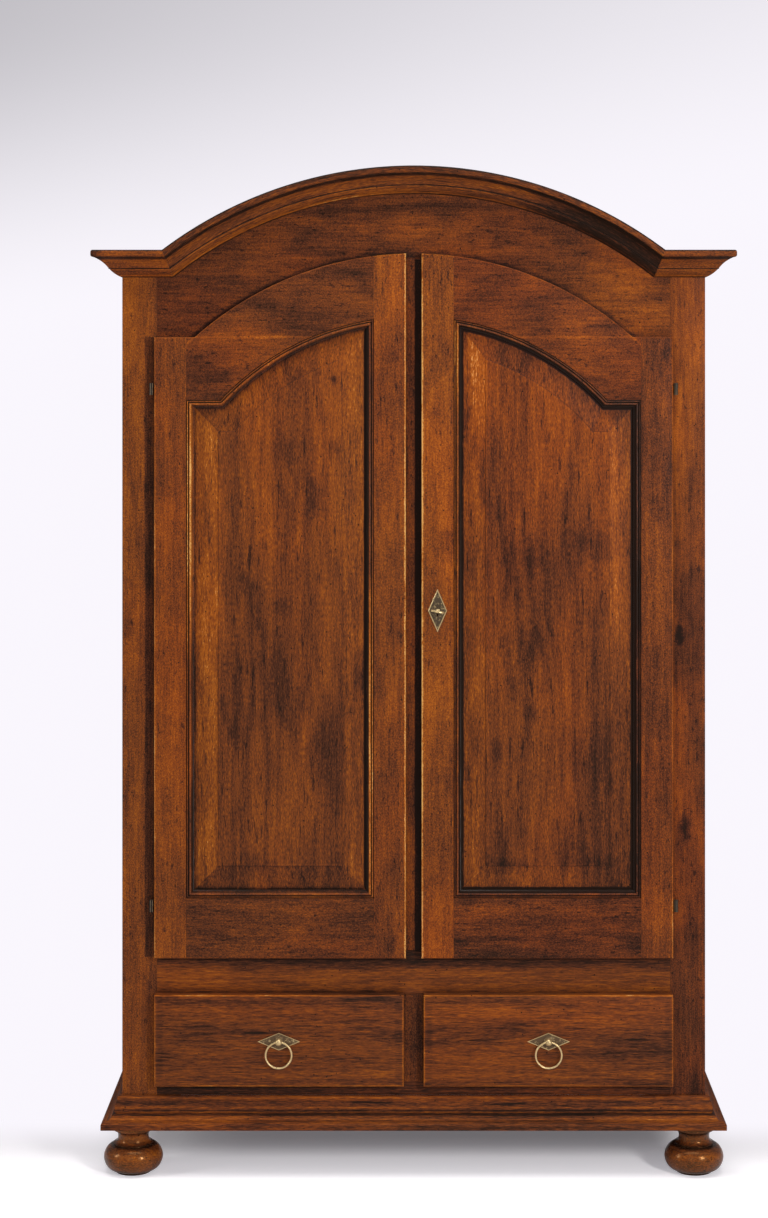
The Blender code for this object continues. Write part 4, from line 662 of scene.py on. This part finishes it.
def foot_section(ball):
    """(radius, height) from the top of the pad down to the floor."""
    top = PLINTH_LEVEL - HAIR
    neck, middle = top - 0.012, (0.0588 + 0.0052) / 2
    return [
        (0, top), (0.0425, top), (0.044, top - 0.0015), (0.044, top - 0.0105), (0.0428, neck),
        *quarter((0.0428, neck), (0.0322, 0.075), (0.0322, neck), 8),
        *quarter((0.0322, 0.075), (0.0405, 0.0628), (0.0322, 0.0628), 6),
        (0.0416, 0.0622), (0.0412, 0.0606), (0.0402, 0.06), (0.0404, 0.0592), (0.042, 0.0588),
        *quarter((0.042, 0.0588), (ball, middle), (ball - 0.0015, 0.0588), 12),
        *quarter((ball, middle), (0.0415, 0.0052), (ball - 0.0015, 0.0052), 12),
        (0.0392, 0.0046), (0.0386, 0.0036), (0.0386, 0.0008), (0.0378, 0), (0, 0),
    ]


# Painted shade in the groove, under the pad and low on the ball, and a painted highlight band on the upper
# ball
FOOT_SHADE_AND_HIGHLIGHT = [(away_from(2), *touch) for touch in (
    (0.0044, 0.001, -0.36, 0.06), (0.016, 0.004, -0.28, 0),
    (0.006, 0.001, -0.24, 0.087), (0.01, 0.002, 0.12, 0.042),
)]
feet = ("foot_front_left", "foot_front_right", "foot_rear_left", "foot_rear_right")
for number, node in enumerate(feet):
    low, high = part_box(node)
    x, y = (low.x + high.x) / 2, (low.y + high.y) / 2
    section = foot_section(ball=(high.x - low.x) / 2)
    foot = pencil("turned_" + node, [(x + radius, y, height) for radius, height in section])
    bpy.ops.mesh.spin(steps=72, angle=math.tau, center=(x, y, 0), axis=(0, 0, 1))
    wood = walnut("walnut_" + node, "X", 20 + number * 0.7, -0.16 if x > 0 else -0.03, smoke=0.3,
                  touches=FOOT_SHADE_AND_HIGHLIGHT, gloss=0.17, shine=0.5, red=-0.6, tint=(1, 0.52, 0.2))
    hand_over(close_up(foot, 40), wood, "carcass", node)

# %% [markdown]
# ## The mouldings
# The cornice and the plinth are mouldings: one section run along the case and mitred at the corners.
# The straight runs are the section filled and extruded past the corner, then bisected along the
# mitre, as a joiner saws them. Over the doors the same cornice section is spun about the centre of
# the arch.

# %% Sections of the cornice and the plinth
POST_FACE = CASE_FRONT - HAIR
CASE_SIDE, CASE_BACK = 0.6203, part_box("post_rear_left")[1].y
CORNICE_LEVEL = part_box("cornice_left")[0].z
CORNICE_SIZE, PLINTH_SIZE = (0.06, 0.057), (0.041, 0.064)     # how far they stand out, and how high
MILLIMETRES = (0.001, 0.001)


def bowed(start, end, swell, steps):
    """Points after start on a line to end that swells outwards, or hollows where swell is negative."""
    (out, up), (far, high) = start, end
    points = []
    for step in range(1, steps + 1):
        share = step / steps
        bulge = 4 * swell * share * (1 - share)
        points.append((out + (far - out) * share + bulge * (high - up),
                       up + (high - up) * share - bulge * (far - out)))
    return points


def sized(points, size):
    return [(out * size[0], up * size[1]) for out, up in points]


# Both as (out, up) in shares of their size: ovolo, fillet, cove and nose; fillet, cove, quirk and ovolo
CORNICE = sized([
    (0, 0), *bowed((0, 0), (0.385, 0.285), 0.06, 8),
    (0.39, 0.305), (0.43, 0.31), (0.437, 0.345), *bowed((0.437, 0.345), (0.868, 0.715), -0.07, 12),
    (0.872, 0.735), (0.92, 0.735), *quarter((0.92, 0.735), (1, 0.81), (1, 0.735), 5),
    (1, 0.915), *quarter((1, 0.915), (0.93, 1), (1, 1), 5), (0, 1),
], CORNICE_SIZE)
PLINTH = sized([
    (0, 0), (0.985, 0), (1, 0.012), (1, 0.17),
    *quarter((1, 0.17), (0.91, 0.225), (1, 0.225), 4),
    (0.89, 0.235), (0.885, 0.25), *quarter((0.885, 0.25), (0.5, 0.38), (0.5, 0.25), 9),
    (0.495, 0.395), (0.46, 0.405), (0.455, 0.425), (0.31, 0.43), (0.3, 0.44), (0.3, 0.485),
    (0.31, 0.495), (0.365, 0.5), *quarter((0.365, 0.5), (0.27, 0.83), (0.365, 0.66), 10),
    (0.255, 0.845), (0.225, 0.848), (0.22, 0.86), (0.22, 0.94),
    *quarter((0.22, 0.94), (0.17, 1), (0.22, 1), 4), (0, 1),
], PLINTH_SIZE)
print("cornice section", len(CORNICE), "points, plinth section", len(PLINTH))

# %% Run, mitre and join
CORNICE_ARCH = 0.8226               # radius of the cornice's lower edge over the doors
CORNICE_TURN = 0.5104               # x where the arch meets its level ends
SAW_CUT = 0.00015                   # half the gap left in a mitre
LONG_WAY = 0.7                      # past the corner, to be sawn off


def saw(point, outward):
    """Cut away what lies beyond a plane; the piece is in edit mode."""
    bpy.ops.mesh.select_all(action="SELECT")
    bpy.ops.mesh.bisect(plane_co=point, plane_no=outward, use_fill=True, clear_outer=True)


def run_of(name, points, way, *mitres):
    """A section filled and extruded along a straight way, then sawn."""
    run = pencil(name, points)
    bpy.ops.mesh.edge_face_add()
    extrude(way)
    bpy.ops.mesh.select_all(action="SELECT")
    bpy.ops.mesh.normals_make_consistent(inside=False)
    for mitre in mitres:
        saw(*mitre)
    return close_up(run)


def glue(*pieces):
    pick(*pieces)
    bpy.ops.object.join()
    return pieces[0]


def turned_round(mitre):
    return mitre[0], -mitre[1]


def corner_mitre(side, shift=0):
    outward = Vector((side, 1, 0)).normalized()
    return Vector((side * CASE_SIDE, POST_FACE, 0)) + outward * shift, outward


def arch_mitre(side, shift=0):
    low = Vector((side * CORNICE_TURN, 0, CORNICE_LEVEL))
    top = CORNICE_ARCH + CORNICE_SIZE[1]
    rise = CORNICE_LEVEL + CORNICE_SIZE[1] - ARCH_CENTER
    high = Vector((side * math.sqrt(top * top - rise * rise), 0, CORNICE_LEVEL + CORNICE_SIZE[1]))
    seam = (high - low).normalized()
    outward = Vector((side * abs(seam.z), 0, -abs(seam.x)))
    return low + outward * shift, outward


def front_points(section, level, x):
    return [(x, POST_FACE - out, level + up) for out, up in section]


def side_points(section, level, side):
    return [(side * (CASE_SIDE + out), CASE_BACK, level + up) for out, up in section]


def lines(height, marks):
    """Touches along a moulding from (height, half width, change), height being a distance function: painted
    shade in its hollows and painted highlights on its rounds.
    """
    return [(height, reach * 1.4, reach * 0.4, change, level) for level, reach, change in marks]


def above(level):
    """Metres above a level, as a distance."""
    return lambda axes: axes[2] - level


def above_cornice_arch(axes):
    return axes[0].reach(axes[2] - ARCH_CENTER) - CORNICE_ARCH


def darker_right_cove(axes):
    """0 in the cove towards the arch's right end, which is made darker, metres from it elsewhere."""
    height = once(above_cornice_arch, axes)
    return ((height - 0.02).size() - 0.02).most((0.38 - axes[0]) * 0.022)


def darker_left_tip(axes):
    """Below 0 at the front of the cornice's left tip, metres from it elsewhere."""
    return (axes[0] + 0.67).most(axes[1] + 0.285)


# Painted shade under the nose and in the quirks, and painted highlights on fillets and rounds
CORNICE_SHADE_AND_HIGHLIGHT = [(0.0562, 0.0024, -0.42), (0.04, 0.003, -0.44), (0.0182, 0.0015, -0.4),
                 (0.0158, 0.0012, 0.16), (0.0034, 0.0012, 0.2), (0.0004, 0.0018, -0.34)]
PLINTH_SHADE_AND_HIGHLIGHT = [(0.0354, 0.0022, -0.34), (0.0272, 0.0018, -0.3), (0.031, 0.0012, 0.14),
                (0.0196, 0.0012, 0.12), (0.0416, 0.0014, 0.1), (0.05, 0.006, -0.16),
                (0.005, 0.008, -0.16), (0.06, 0.002, 0.08)]
for word, side in SIDES:
    points = front_points(CORNICE, CORNICE_LEVEL, side * 0.4)
    level_end = run_of("crown_end_" + word, points, (side * 0.34, 0, 0),
                       turned_round(arch_mitre(side, SAW_CUT)), corner_mitre(side))
    back_run = run_of("crown_side_" + word, side_points(CORNICE, CORNICE_LEVEL, side), (0, -LONG_WAY, 0),
                      turned_round(corner_mitre(side)))
    crown = glue(level_end, back_run)
    crown.name = "crown_" + word
    touches = lines(above(CORNICE_LEVEL), CORNICE_SHADE_AND_HIGHLIGHT)
    if word == "left":
        # the front of the cornice's left tip is made darker
        touches += [(darker_left_tip, 0.02, -0.004, -0.34)]
    wood = walnut("walnut_crown_" + word, "X", 30 + side, touches=touches)
    hand_over(crown, wood, "carcass", "cornice_" + word)

# %% Spin the cornice over the arch
def spin_arch():
    swing = math.asin(CORNICE_TURN / CORNICE_ARCH) + 0.05
    points = []
    for out, up in CORNICE + CORNICE[:1]:
        radius = CORNICE_ARCH + up
        points.append((-radius * math.sin(swing), POST_FACE - out, ARCH_CENTER + radius * math.cos(swing)))
    arch = pencil("crown_arch", points)
    bpy.ops.mesh.remove_doubles(threshold=0.00001)
    bpy.ops.mesh.spin(steps=110, angle=-2 * swing, center=(0, 0, ARCH_CENTER), axis=(0, 1, 0))
    for side in (-1, 1):
        saw(*arch_mitre(side, -SAW_CUT))
    return close_up(arch)


# the cove is made darker towards the arch's right end
touches = lines(above_cornice_arch, CORNICE_SHADE_AND_HIGHLIGHT) + [
    (darker_right_cove, 0.0045, 0, -0.5), (above_cornice_arch, 0.008, 0.004, -0.14, 0.051)]
wood = walnut("walnut_crown_arch", "X", 33, -0.03, touches=touches, polar=ARCH_CENTER, drawn=0.2)
hand_over(spin_arch(), wood, "carcass", "cornice_arch")

# %% Run the plinth round three sides
touches = lines(above(PLINTH_LEVEL), PLINTH_SHADE_AND_HIGHLIGHT)
run = run_of("plinth_front_run", front_points(PLINTH, PLINTH_LEVEL, -0.72), (1.44, 0, 0),
             corner_mitre(-1, -SAW_CUT), corner_mitre(1, -SAW_CUT))
wood = walnut("walnut_plinth_front", "X", 36, 0.03, smoke=0.5, touches=touches, drawn=0.14)
hand_over(run, wood, "carcass", "base_moulding_front")
for word, side in SIDES:
    run = run_of("plinth_side_" + word, side_points(PLINTH, PLINTH_LEVEL, side), (0, -LONG_WAY, 0),
                 turned_round(corner_mitre(side, SAW_CUT)))
    wood = walnut("walnut_plinth_" + word, "Y", 37 + side, -0.06, touches=touches)
    hand_over(run, wood, "carcass", "base_moulding_" + word)

# %% [markdown]
# ## Metal and plain inside wood
# Pulls, escutcheon and key are brass that has lost its polish: bright where hands rub it and brown
# in the hollows. The hinges and the lock are dark iron. Inside, the boards are plain and paler.

# %% Aged brass and dark iron
BRIGHT_BRASS, BROWN_BRASS = (0.7, 0.52, 0.26, 1), (0.055, 0.035, 0.018, 1)
BRONZE = (0.09, 0.052, 0.024, 1)   # the pulls' plates have gone brown


def aged_brass(name, seed=0, tarnished=1, worn=(), dark=BROWN_BRASS, rub=0.9):
    """Old brass; worn lists (distance, far, near) for the places that hands keep bright, and rub is
    how bright they get."""
    finish = Finish(name, (0.6, 0.48, 0.28))
    here, axes = finish.place()
    x, y, z = axes
    cast = finish.noise(finish.vector(x + seed, y, z), 190, 4, 0.6)
    spots = finish.noise(finish.vector(x - seed, y, z), 520, 3, 0.65)
    tarnish = (cast * 0.6 + spots * 0.4).fade(0.62 - tarnished * 0.34, 0.74 - tarnished * 0.24)
    for distance, far, near in worn:
        tarnish = tarnish * (1 - distance(axes).fade(far, near) * rub)
    color = finish.mix(tarnish, BRIGHT_BRASS, dark)
    height = cast * 0.0001 + spots * 0.00005
    return finish.surface(color, 0.34 + tarnish * 0.2, height, 0.25, Metallic=1 - tarnish * 0.85)


def dark_iron(name, painted_highlights=False):
    """Old iron; painted_highlights adds two bright lines down a hinge barrel, painted highlights of the
    lamps.
    """
    finish = Finish(name, (0.13, 0.1, 0.08))
    here, (x, y, z) = finish.place()
    scale = finish.noise(here, 240, 4, 0.6)
    rust = finish.noise(here, 90, 3, 0.6).fade(0.56, 0.7)
    color = finish.mix(rust, (0.016, 0.012, 0.01, 1), (0.05, 0.024, 0.013, 1))
    if painted_highlights:
        # painted highlights: two bright lines down each hinge barrel
        line = ((x.size() - 0.556).size() - 0.0022).size()
        color = finish.mix(line.fade(0.0008, 0.0003), color, (0.17, 0.12, 0.07, 1))
    return finish.surface(color, 0.5 + rust * 0.3, scale * 0.00018, 0.2, Metallic=0.35 - rust * 0.3)


iron, hinge_iron = dark_iron("dark_iron"), dark_iron("hinge_iron", True)
for node in nodes:
    if node.startswith("hinge_"):
        dress(node, hinge_iron)
    elif node in ("lock_case", "lock_bolt"):
        dress(node, iron)
print("iron dressed")

# %% Inside wood
def inside_wood(name, grain, seed, boards):
    """Planed, oiled boards, paler than the outside. boards is the width of each board, where there are
    several edge to edge; every one then has its own tone and figure, and a dark seam beside it."""
    finish = Finish(name, (0.5, 0.33, 0.19))
    here, axes = finish.place()
    across, depth, along = grain_space(axes, grain, seed)
    seam, tone = 0, 0
    if boards:
        count = (across / boards).floor()
        seam = (across / boards - count - 0.5).size().fade(0.49, 0.497)
        depth = depth + count * 0.731
        tone = (count * 2.399).wave() * 0.1 - seam * 0.55
    fibre = finish.vector(across, depth, along * 0.04)
    board = finish.vector(across, depth * 0.6, along * 0.25)
    wander = finish.noise(board, 5) - 0.5
    rings = (across * 150 + depth * 90 + wander * 26).wave()
    streaks = finish.noise(fibre, 300, 3, 0.6)
    clouds = finish.noise(board, 6, 3)
    level = 0.5 + tone + rings * 0.09 + (streaks - 0.5) * 0.5 + (clouds - 0.5) * 0.5
    oiled = finish.ramp(level.most(0).least(1), (
        (0, (0.13, 0.06, 0.022)), (0.5, (0.3, 0.155, 0.062)), (1, (0.46, 0.27, 0.12))))
    return finish.surface(oiled, 0.62 + (streaks - 0.5) * 0.2, streaks * 0.00016 - seam * 0.0012, 0.3)


INSIDE = {                          # grain, and the width of each board
    "back_panel": ("Z", 0.178), "cabinet_floor": ("X", 0.125), "hat_shelf": ("X", 0.14),
    "hanging_rail": ("X", None), "left_drawer_box": ("Y", None), "right_drawer_box": ("Y", None),
    "turn_button": ("Z", None),
}
for number, (node, (grain, boards)) in enumerate(INSIDE.items()):
    dress(node, inside_wood("inside_" + node, grain, 50 + number * 0.61, boards))
print("inside boards dressed:", len(INSIDE))

# %% [markdown]
# ## Pulls, escutcheon and key
# The pulls and the keyhole plate are cast lozenges with a raised rim: a lozenge is drawn, extruded
# forwards and inset, and the field is sunk by one more inset. Knob, ring and key are turned or bent
# from rod, so they are sections spun about their axes. The ring hangs in a hole bored straight across
# the knob, wide enough for the ring to swing right up.

# %% Helpers for turned and cast pieces
FACE = -0.274                       # y of the faces of doors and drawers
SEAT = FACE - HAIR                  # where plates sit


def lozenge(name, x, z, wide, high, height, rim):
    """A raised-rim lozenge that faces forwards."""
    plate = pencil(name, [(x - wide, SEAT, z), (x, SEAT, z - high), (x + wide, SEAT, z), (x, SEAT, z + high)])
    bpy.ops.mesh.edge_face_add()
    extrude((0, -height, 0))
    bpy.ops.mesh.inset(thickness=0.0005, depth=0.0004)
    bpy.ops.mesh.inset(thickness=rim)
    bpy.ops.mesh.inset(thickness=0.0006, depth=-0.0009)
    return close_up(plate, 20)


def turned(name, x, z, section, steps=40):
    """A section of (radius, y) spun about an axis that points forwards."""
    piece = pencil(name, [(x + radius, y, z) for radius, y in section])
    bpy.ops.mesh.remove_doubles(threshold=0.00001)
    bpy.ops.mesh.spin(steps=steps, angle=math.tau, center=(x, 0, z), axis=(0, 1, 0))
    return close_up(piece, 40)


def drill(radius, place, turn, vertices):
    """A rod to bore with."""
    bpy.ops.mesh.primitive_cylinder_add(
        vertices=vertices, radius=radius, depth=0.03, location=place, rotation=turn)
    return bpy.context.object


def stretch(piece, place, size, turn=0):
    """Stretch a piece about a place and turn it there, seen from the front."""
    edit(piece)
    bpy.ops.transform.resize(value=size, center_override=place)
    bpy.ops.transform.rotate(value=turn, orient_axis="Y", center_override=place)
    pick(piece)
    bpy.ops.object.transform_apply(location=True, rotation=True, scale=True)
    return piece


def block(place, size):
    bpy.ops.mesh.primitive_cube_add(size=1, location=place)
    return stretch(bpy.context.object, place, size)


def cut(piece, *tools):
    for tool in tools:
        pick(piece)
        trim = piece.modifiers.new("cut", "BOOLEAN")
        trim.operation, trim.object, trim.solver = "DIFFERENCE", tool, "EXACT"
        bpy.ops.object.modifier_apply(modifier=trim.name)
        bpy.data.objects.remove(tool)
    return close_up(piece, 40)


def lozenge_rim(x, z, wide, high):
    """Metres in from the edge of a lozenge."""
    reach = wide * high / math.hypot(wide, high)
    return lambda axes: (
        1 - (axes[0] - x).size() / wide - (axes[2] - z).size() / high) * reach


print("helpers for brass ready")

# %% Cast the pulls
PULL_X, PULL_Z, KNOB_Y = 0.2855, 0.287, -0.2845
PULL_SIZE, PLATE_Z = (0.045, 0.0185), PULL_Z - 0.001
KNOB_RADIUS, NECK, RING_RADIUS, RING_WIRE = 0.0077, 0.0062, 0.0275, 0.002
EYE_RADIUS = 0.0039                 # the ring bends inside the knob, so its hole is wider than the wire


def knob_section():
    """(radius, y) of nut, shank, rosette, neck and knob, from behind the drawer front to its face."""
    start = math.acos(NECK / KNOB_RADIUS)
    turns = [start + (math.pi - start) * step / 14 for step in range(1, 15)]
    return [
        (0, -0.24), (0.0055, -0.2402), (0.006, -0.2408), (0.006, -0.244), (0.0024, -0.2442),
        (0.0024, SEAT - 0.0008), (0.0105, SEAT - 0.001), (0.0107, SEAT - 0.0018),
        *quarter((0.0107, SEAT - 0.0018), (0.0052, SEAT - 0.0032), (0.01, SEAT - 0.0032), 4),
        (0.004, SEAT - 0.0036), (0.0046, KNOB_Y + NECK),
        *[(KNOB_RADIUS * math.sin(turn), KNOB_Y + KNOB_RADIUS * math.cos(turn)) for turn in turns],
    ]


def ring_section():
    """(radius, y) round the wire."""
    turns = [math.tau * step / 14 for step in range(15)]
    return [(RING_RADIUS + RING_WIRE * math.cos(turn), KNOB_Y + RING_WIRE * math.sin(turn)) for turn in turns]


for number, (word, side) in enumerate(SIDES):
    x = side * PULL_X
    knob = turned("knob_" + word, x, PULL_Z, knob_section())
    cut(knob, drill(EYE_RADIUS, (x, KNOB_Y, PULL_Z), (0, math.pi / 2, 0), 32))
    pull = glue(lozenge("pull_plate_" + word, x, PLATE_Z, *PULL_SIZE, 0.0012, 0.0012), knob)
    worn = [(lozenge_rim(x, PLATE_Z, *PULL_SIZE), 0.0017, 0.0009),
            (lambda axes: axes[1], -0.2768, -0.2788)]
    brass = aged_brass("brass_pull_" + word, number, 1.05, worn, BRONZE, 0.78)
    hand_over(pull, brass, word + "_drawer", word + "_pull_plate")
    ring = turned("ring_" + word, x, PULL_Z - RING_RADIUS, ring_section(), 72)
    brass = aged_brass("brass_ring_" + word, 3 + number, 0.25)
    hand_over(ring, brass, word + "_ring", word + "_ring")

# %% Cut the keyhole plate
KEY_X, KEY_Z = 0.0505, 1.1985
PLATE_SIZE = (0.02, 0.0455)
plate = lozenge("keyhole_plate", KEY_X, KEY_Z, *PLATE_SIZE, 0.0013, 0.001)
cut(plate, drill(0.0042, (KEY_X, FACE, KEY_Z), (math.pi / 2, 0, 0), 24),
    block((KEY_X, FACE, KEY_Z - 0.0065), (0.0034, 0.02, 0.012)))
worn = [(lozenge_rim(KEY_X, KEY_Z, *PLATE_SIZE), 0.0026, 0.0014)]
hand_over(plate, aged_brass("brass_keyhole_plate", 7, 1.05, worn), "right_door", "escutcheon")

# %% File the key
SHANK_END, BOW_Y = -0.2361, -0.2975
shank = turned("key_shank", KEY_X, KEY_Z, [
    (0, SHANK_END), (0.0026, SHANK_END - 0.0002), (0.003, SHANK_END - 0.0008), (0.003, -0.279),
    (0.0048, -0.2794), (0.0048, -0.2806), (0.0036, -0.2812), (0.0044, -0.282), (0.0044, -0.2828),
    (0.003, -0.2838), (0.0026, -0.286), (0.003, -0.2876), (0.003, -0.289), (0, -0.2892),
], 24)
middle = (KEY_X, BOW_Y, KEY_Z)
bpy.ops.mesh.primitive_torus_add(location=middle, major_segments=48, minor_segments=12,
                                 major_radius=0.014, minor_radius=0.0015)
bow = stretch(bpy.context.object, middle, (1, 0.62, 1.25), math.radians(-11))
bit = block((KEY_X + 0.0062, SHANK_END - 0.0038, KEY_Z), (0.0106, 0.007, 0.0025))
key = close_up(glue(shank, bow, bit), 40)
key.name = "turned_key"
hand_over(key, aged_brass("brass_key", 9, 0.55), "key", "key")

# %% [markdown]
# ## Beads and raised panels
# Each door is a frame round a raised panel. A small bead with a deep groove on either side runs
# round the inside of the frame, over the arch and its level shoulder, and the panel rises from the
# groove in a broad bevel to a flat field. Both follow one outline at growing distances. So for each
# point of the section the outline is drawn again, that much further in and forward, and each drawing
# is bridged to the next: every mitre falls into place.

# %% The opening inside a door frame
OPENING_INNER, OPENING_OUTER = 0.0845, 0.482      # x of its sides
OPENING_FOOT, OPENING_SHOULDER = 0.589, 1.6445    # z of its foot and its level shoulder
OPENING_ARCH = 0.5626                             # radius of its arch
PANEL_SEAT = -0.2626                              # y that bead and panel sit on
GROOVE, BEVEL = 0.016, 0.0672                     # where the groove is, and where the bevel ends


def opening_outline(side, inset, steps=56):
    inner, outer = OPENING_INNER + inset, OPENING_OUTER - inset
    foot, shoulder, radius = OPENING_FOOT + inset, OPENING_SHOULDER - inset, OPENING_ARCH - inset
    turn = math.acos((shoulder - ARCH_CENTER) / radius)
    start = math.asin(inner / radius)
    points = [(inner, foot), (outer, foot), (outer, shoulder)]
    for step in range(steps + 1):
        angle = turn + (start - turn) * step / steps
        points.append((radius * math.sin(angle), ARCH_CENTER + radius * math.cos(angle)))
    return [(side * x, z) for x, z in points][::side]


def opening_rings(side, section):
    """The outline once for each (inset, height) of a section."""
    return [[(x, PANEL_SEAT - up, z) for x, z in opening_outline(side, inset)] for inset, up in section]


def stretch_skin(name, rings, closed):
    """Draw closed outlines of as many points each and bridge each one to the next."""
    skin = None
    for ring in rings:
        outline = pencil("outline", ring)
        bpy.ops.mesh.edge_face_add()
        bpy.ops.mesh.delete(type="ONLY_FACE")
        skin = glue(skin, outline) if skin else outline
    skin.name = name
    count = len(rings[0])
    for number in range(len(rings) if closed else len(rings) - 1):
        edit(skin, "DESELECT")
        leave()
        for edge in skin.data.edges:
            first, second = (corner // count for corner in edge.vertices)
            edge.select = first == second and first in (number, (number + 1) % len(rings))
        bpy.ops.object.mode_set(mode="EDIT")
        bpy.ops.mesh.select_mode(type="EDGE")
        bpy.ops.mesh.bridge_edge_loops()
    leave()
    return skin


print("opening outline", len(opening_outline(1, 0)), "points")

# %% Distances round the opening
def sides_of(side, axes):
    """Metres in from each side of the opening but its top."""
    x, _, z = axes
    return {"inner": x * side - OPENING_INNER, "outer": OPENING_OUTER - x * side, "foot": z - OPENING_FOOT}


def opening_distance(side):
    """Metres in from the outline of the opening."""
    def distance(axes):
        inner, outer, foot = sides_of(side, axes).values()
        top = (OPENING_ARCH - axes[0].reach(axes[2] - ARCH_CENTER)).most(OPENING_SHOULDER - axes[2])
        return inner.least(outer).least(foot).least(top)
    return distance


OPENINGS = {side: opening_distance(side) for _, side in SIDES}


def bevel_side(side, which, half=0):
    """0 along one side of the opening, and metres away from it elsewhere; which is inner, outer, foot
    or top, and half is 1 for its upper half only and -1 for its lower one."""
    def away(axes):
        sides = sides_of(side, axes)
        near = once(OPENINGS[side], axes)
        if which == "top":
            beyond = near - sides["inner"].least(sides["outer"]).least(sides["foot"]) + 0.0005
        else:
            beyond = sides[which] - near
        beyond = beyond.most(near - BEVEL)
        return beyond.most((1.2 - axes[2]) * 0.01 * half) if half else beyond
    return away


def recess(side, which):
    """0 in the groove between bead and panel along one side of the opening."""
    def away(axes):
        near = once(OPENINGS[side], axes)
        return bevel_side(side, which)(axes).most((near - GROOVE).size() - 0.0048)
    return away


def opening_touches(side, lines, tones, dark, change):
    """Touches from (far, near, change, middle) lines along the outline, from (side, half, change) tones
    along its sides, and a painted shadow in the groove along the sides in dark: all painted light and shade."""
    return [
        *[(OPENINGS[side], *line) for line in lines],
        *[(bevel_side(side, which, half), 0.0012, 0.0002, tone) for which, half, tone in tones],
        *[(recess(side, which), 0.0012, 0.0002, change) for which in dark],
    ]


# Sides whose groove between bead and panel gets a painted shadow
SHADOWED_GROOVES = {"left": ("inner",), "right": ("outer", "top")}
print("distances round the opening ready")

# %% Plane the beads
# (inset, height) above the seat: quirk, fillet, quirk, roll and cove
BEAD = sized([
    (0.3, 0), (0.4, 6), (1.6, 6.3), (2, 10.6), (3.8, 10.9),
    (4.2, 6.8), (5.4, 6.5), *quarter((5.4, 6.5), (8.6, 11.4), (5.4, 11.4), 6),
    *quarter((8.6, 11.4), (11.8, 6.4), (11.8, 11.4), 6),
    *quarter((11.8, 6.4), (16, 0.6), (12, 0.6), 4), (16, 0),
], MILLIMETRES)
# Painted shade in the quirks and the groove, and painted highlights on the fillet and the roll
BEAD_SHADE_AND_HIGHLIGHT = [(0.0012, 0.0006, -0.5, 0.0009), (0.0012, 0.0005, -0.5, 0.0048), (0.003, 0.0012, -0.22, 0.0148),
              (0.0012, 0.0005, 0.22, 0.003), (0.003, 0.0012, 0.22, 0.0088)]
# Painted light and shade on the bead, side by side and half by half
BEAD_SIDE_SHADING = {                      # side; 1 for its upper half, -1 for its lower half, 0 for both; change
    "left": (("outer", 1, 0.26), ("outer", -1, -0.1), ("inner", 1, -0.22), ("inner", -1, 0.26),
             ("foot", -1, -0.08), ("top", 0, -0.06)),
    "right": (("inner", 1, 0.26), ("inner", -1, 0.02), ("outer", 1, -0.24), ("outer", -1, -0.2),
              ("foot", -1, -0.08), ("top", 0, -0.26)),
}
for number, (word, side) in enumerate(SIDES):
    bead = close_up(stretch_skin("bead_" + word, opening_rings(side, BEAD), True), 40)
    touches = opening_touches(side, BEAD_SHADE_AND_HIGHLIGHT, BEAD_SIDE_SHADING[word], SHADOWED_GROOVES[word], -0.45)
    wood = walnut("walnut_bead_" + word, "Z", 62 + number, -0.08, touches=touches, gloss=0.34, shine=0.12)
    hand_over(bead, wood, word + "_door", word + "_door_bead")

# %% Raise the panels
# (inset, height) above the seat: tongue, sunk margin, bevel and field
PANEL = sized([
    (-7.8, -5.9), (-7.7, -0.6), (15.5, -0.3), (16, -3.6), (18.5, -3.8),
    (19, -3.4), (66.5, 4.2), (67, 4.5), (67.6, 5.8),
    *quarter((67.6, 5.8), (69.2, 6.6), (67.6, 6.6), 3),
], MILLIMETRES)
# Painted shade in the groove beside the bead, and a painted shade and highlight where the field begins
PANEL_SHADE_AND_HIGHLIGHT = [(0.016, 0.004, -0.28, 0.01), (0.0024, 0.0012, -0.12, 0.0175),
               (0.0022, 0.0008, -0.07, 0.0674), (0.0022, 0.0008, 0.04, 0.07)]
PANEL_MARKS = {
    "left": [(-274, 1536, 30, 50, 0.15), (-169, 1687, 8, 14, 0.4),
             (-172, 1545, 26, 26, 0.16), (-207, 1438, 36, 70, 0.15),
             (-369, 1580, 20, 90, 0.12), (-275, 1208, 30, 30, 0.16),
             (-190, 860, 50, 120, 0.12), (-330, 660, 50, 30, 0.14),
             (-270, 1240, 160, 260, 0.04), (-270, 800, 160, 150, -0.06)],
    "right": [(251, 1315, 30, 60, 0.16), (251, 1124, 36, 50, 0.16),
              (247, 982, 20, 34, 0.18), (389, 1336, 60, 65, 0.14),
              (374, 880, 55, 110, 0.06), (177, 900, 18, 34, 0.18),
              (194, 657, 60, 24, 0.15), (417, 646, 60, 50, 0.13),
              (280, 1240, 160, 260, 0.12), (280, 800, 160, 150, -0.07)],
}
# Painted light and shade on each side of the panel's bevel, by the way it faces
BEVEL_SIDE_SHADING = {"left": (("outer", 0, 0.18), ("inner", 0, 0.09), ("foot", 0, -0.06)),
               "right": (("outer", 0, 0.14), ("inner", 0, 0.17), ("foot", 0, 0.15), ("top", 0, -0.06))}
for number, (word, side) in enumerate(SIDES):
    panel = stretch_skin("panel_" + word, opening_rings(side, PANEL), False)
    edit(panel, "DESELECT")
    bpy.ops.mesh.select_non_manifold()
    bpy.ops.mesh.edge_face_add()
    close_up(panel, 25)
    touches = opening_touches(side, PANEL_SHADE_AND_HIGHLIGHT, BEVEL_SIDE_SHADING[word], SHADOWED_GROOVES[word], -0.55)
    wood = walnut("walnut_panel_" + word, "Z", 60 + number * 1.7, -0.05 - number * 0.01, 0.12, 1.5, 0.36,
                  touches, PANEL_MARKS[word], red=number * 0.25 - 0.15, drawn=0.3)
    hand_over(panel, wood, word + "_door", word + "_door_panel")
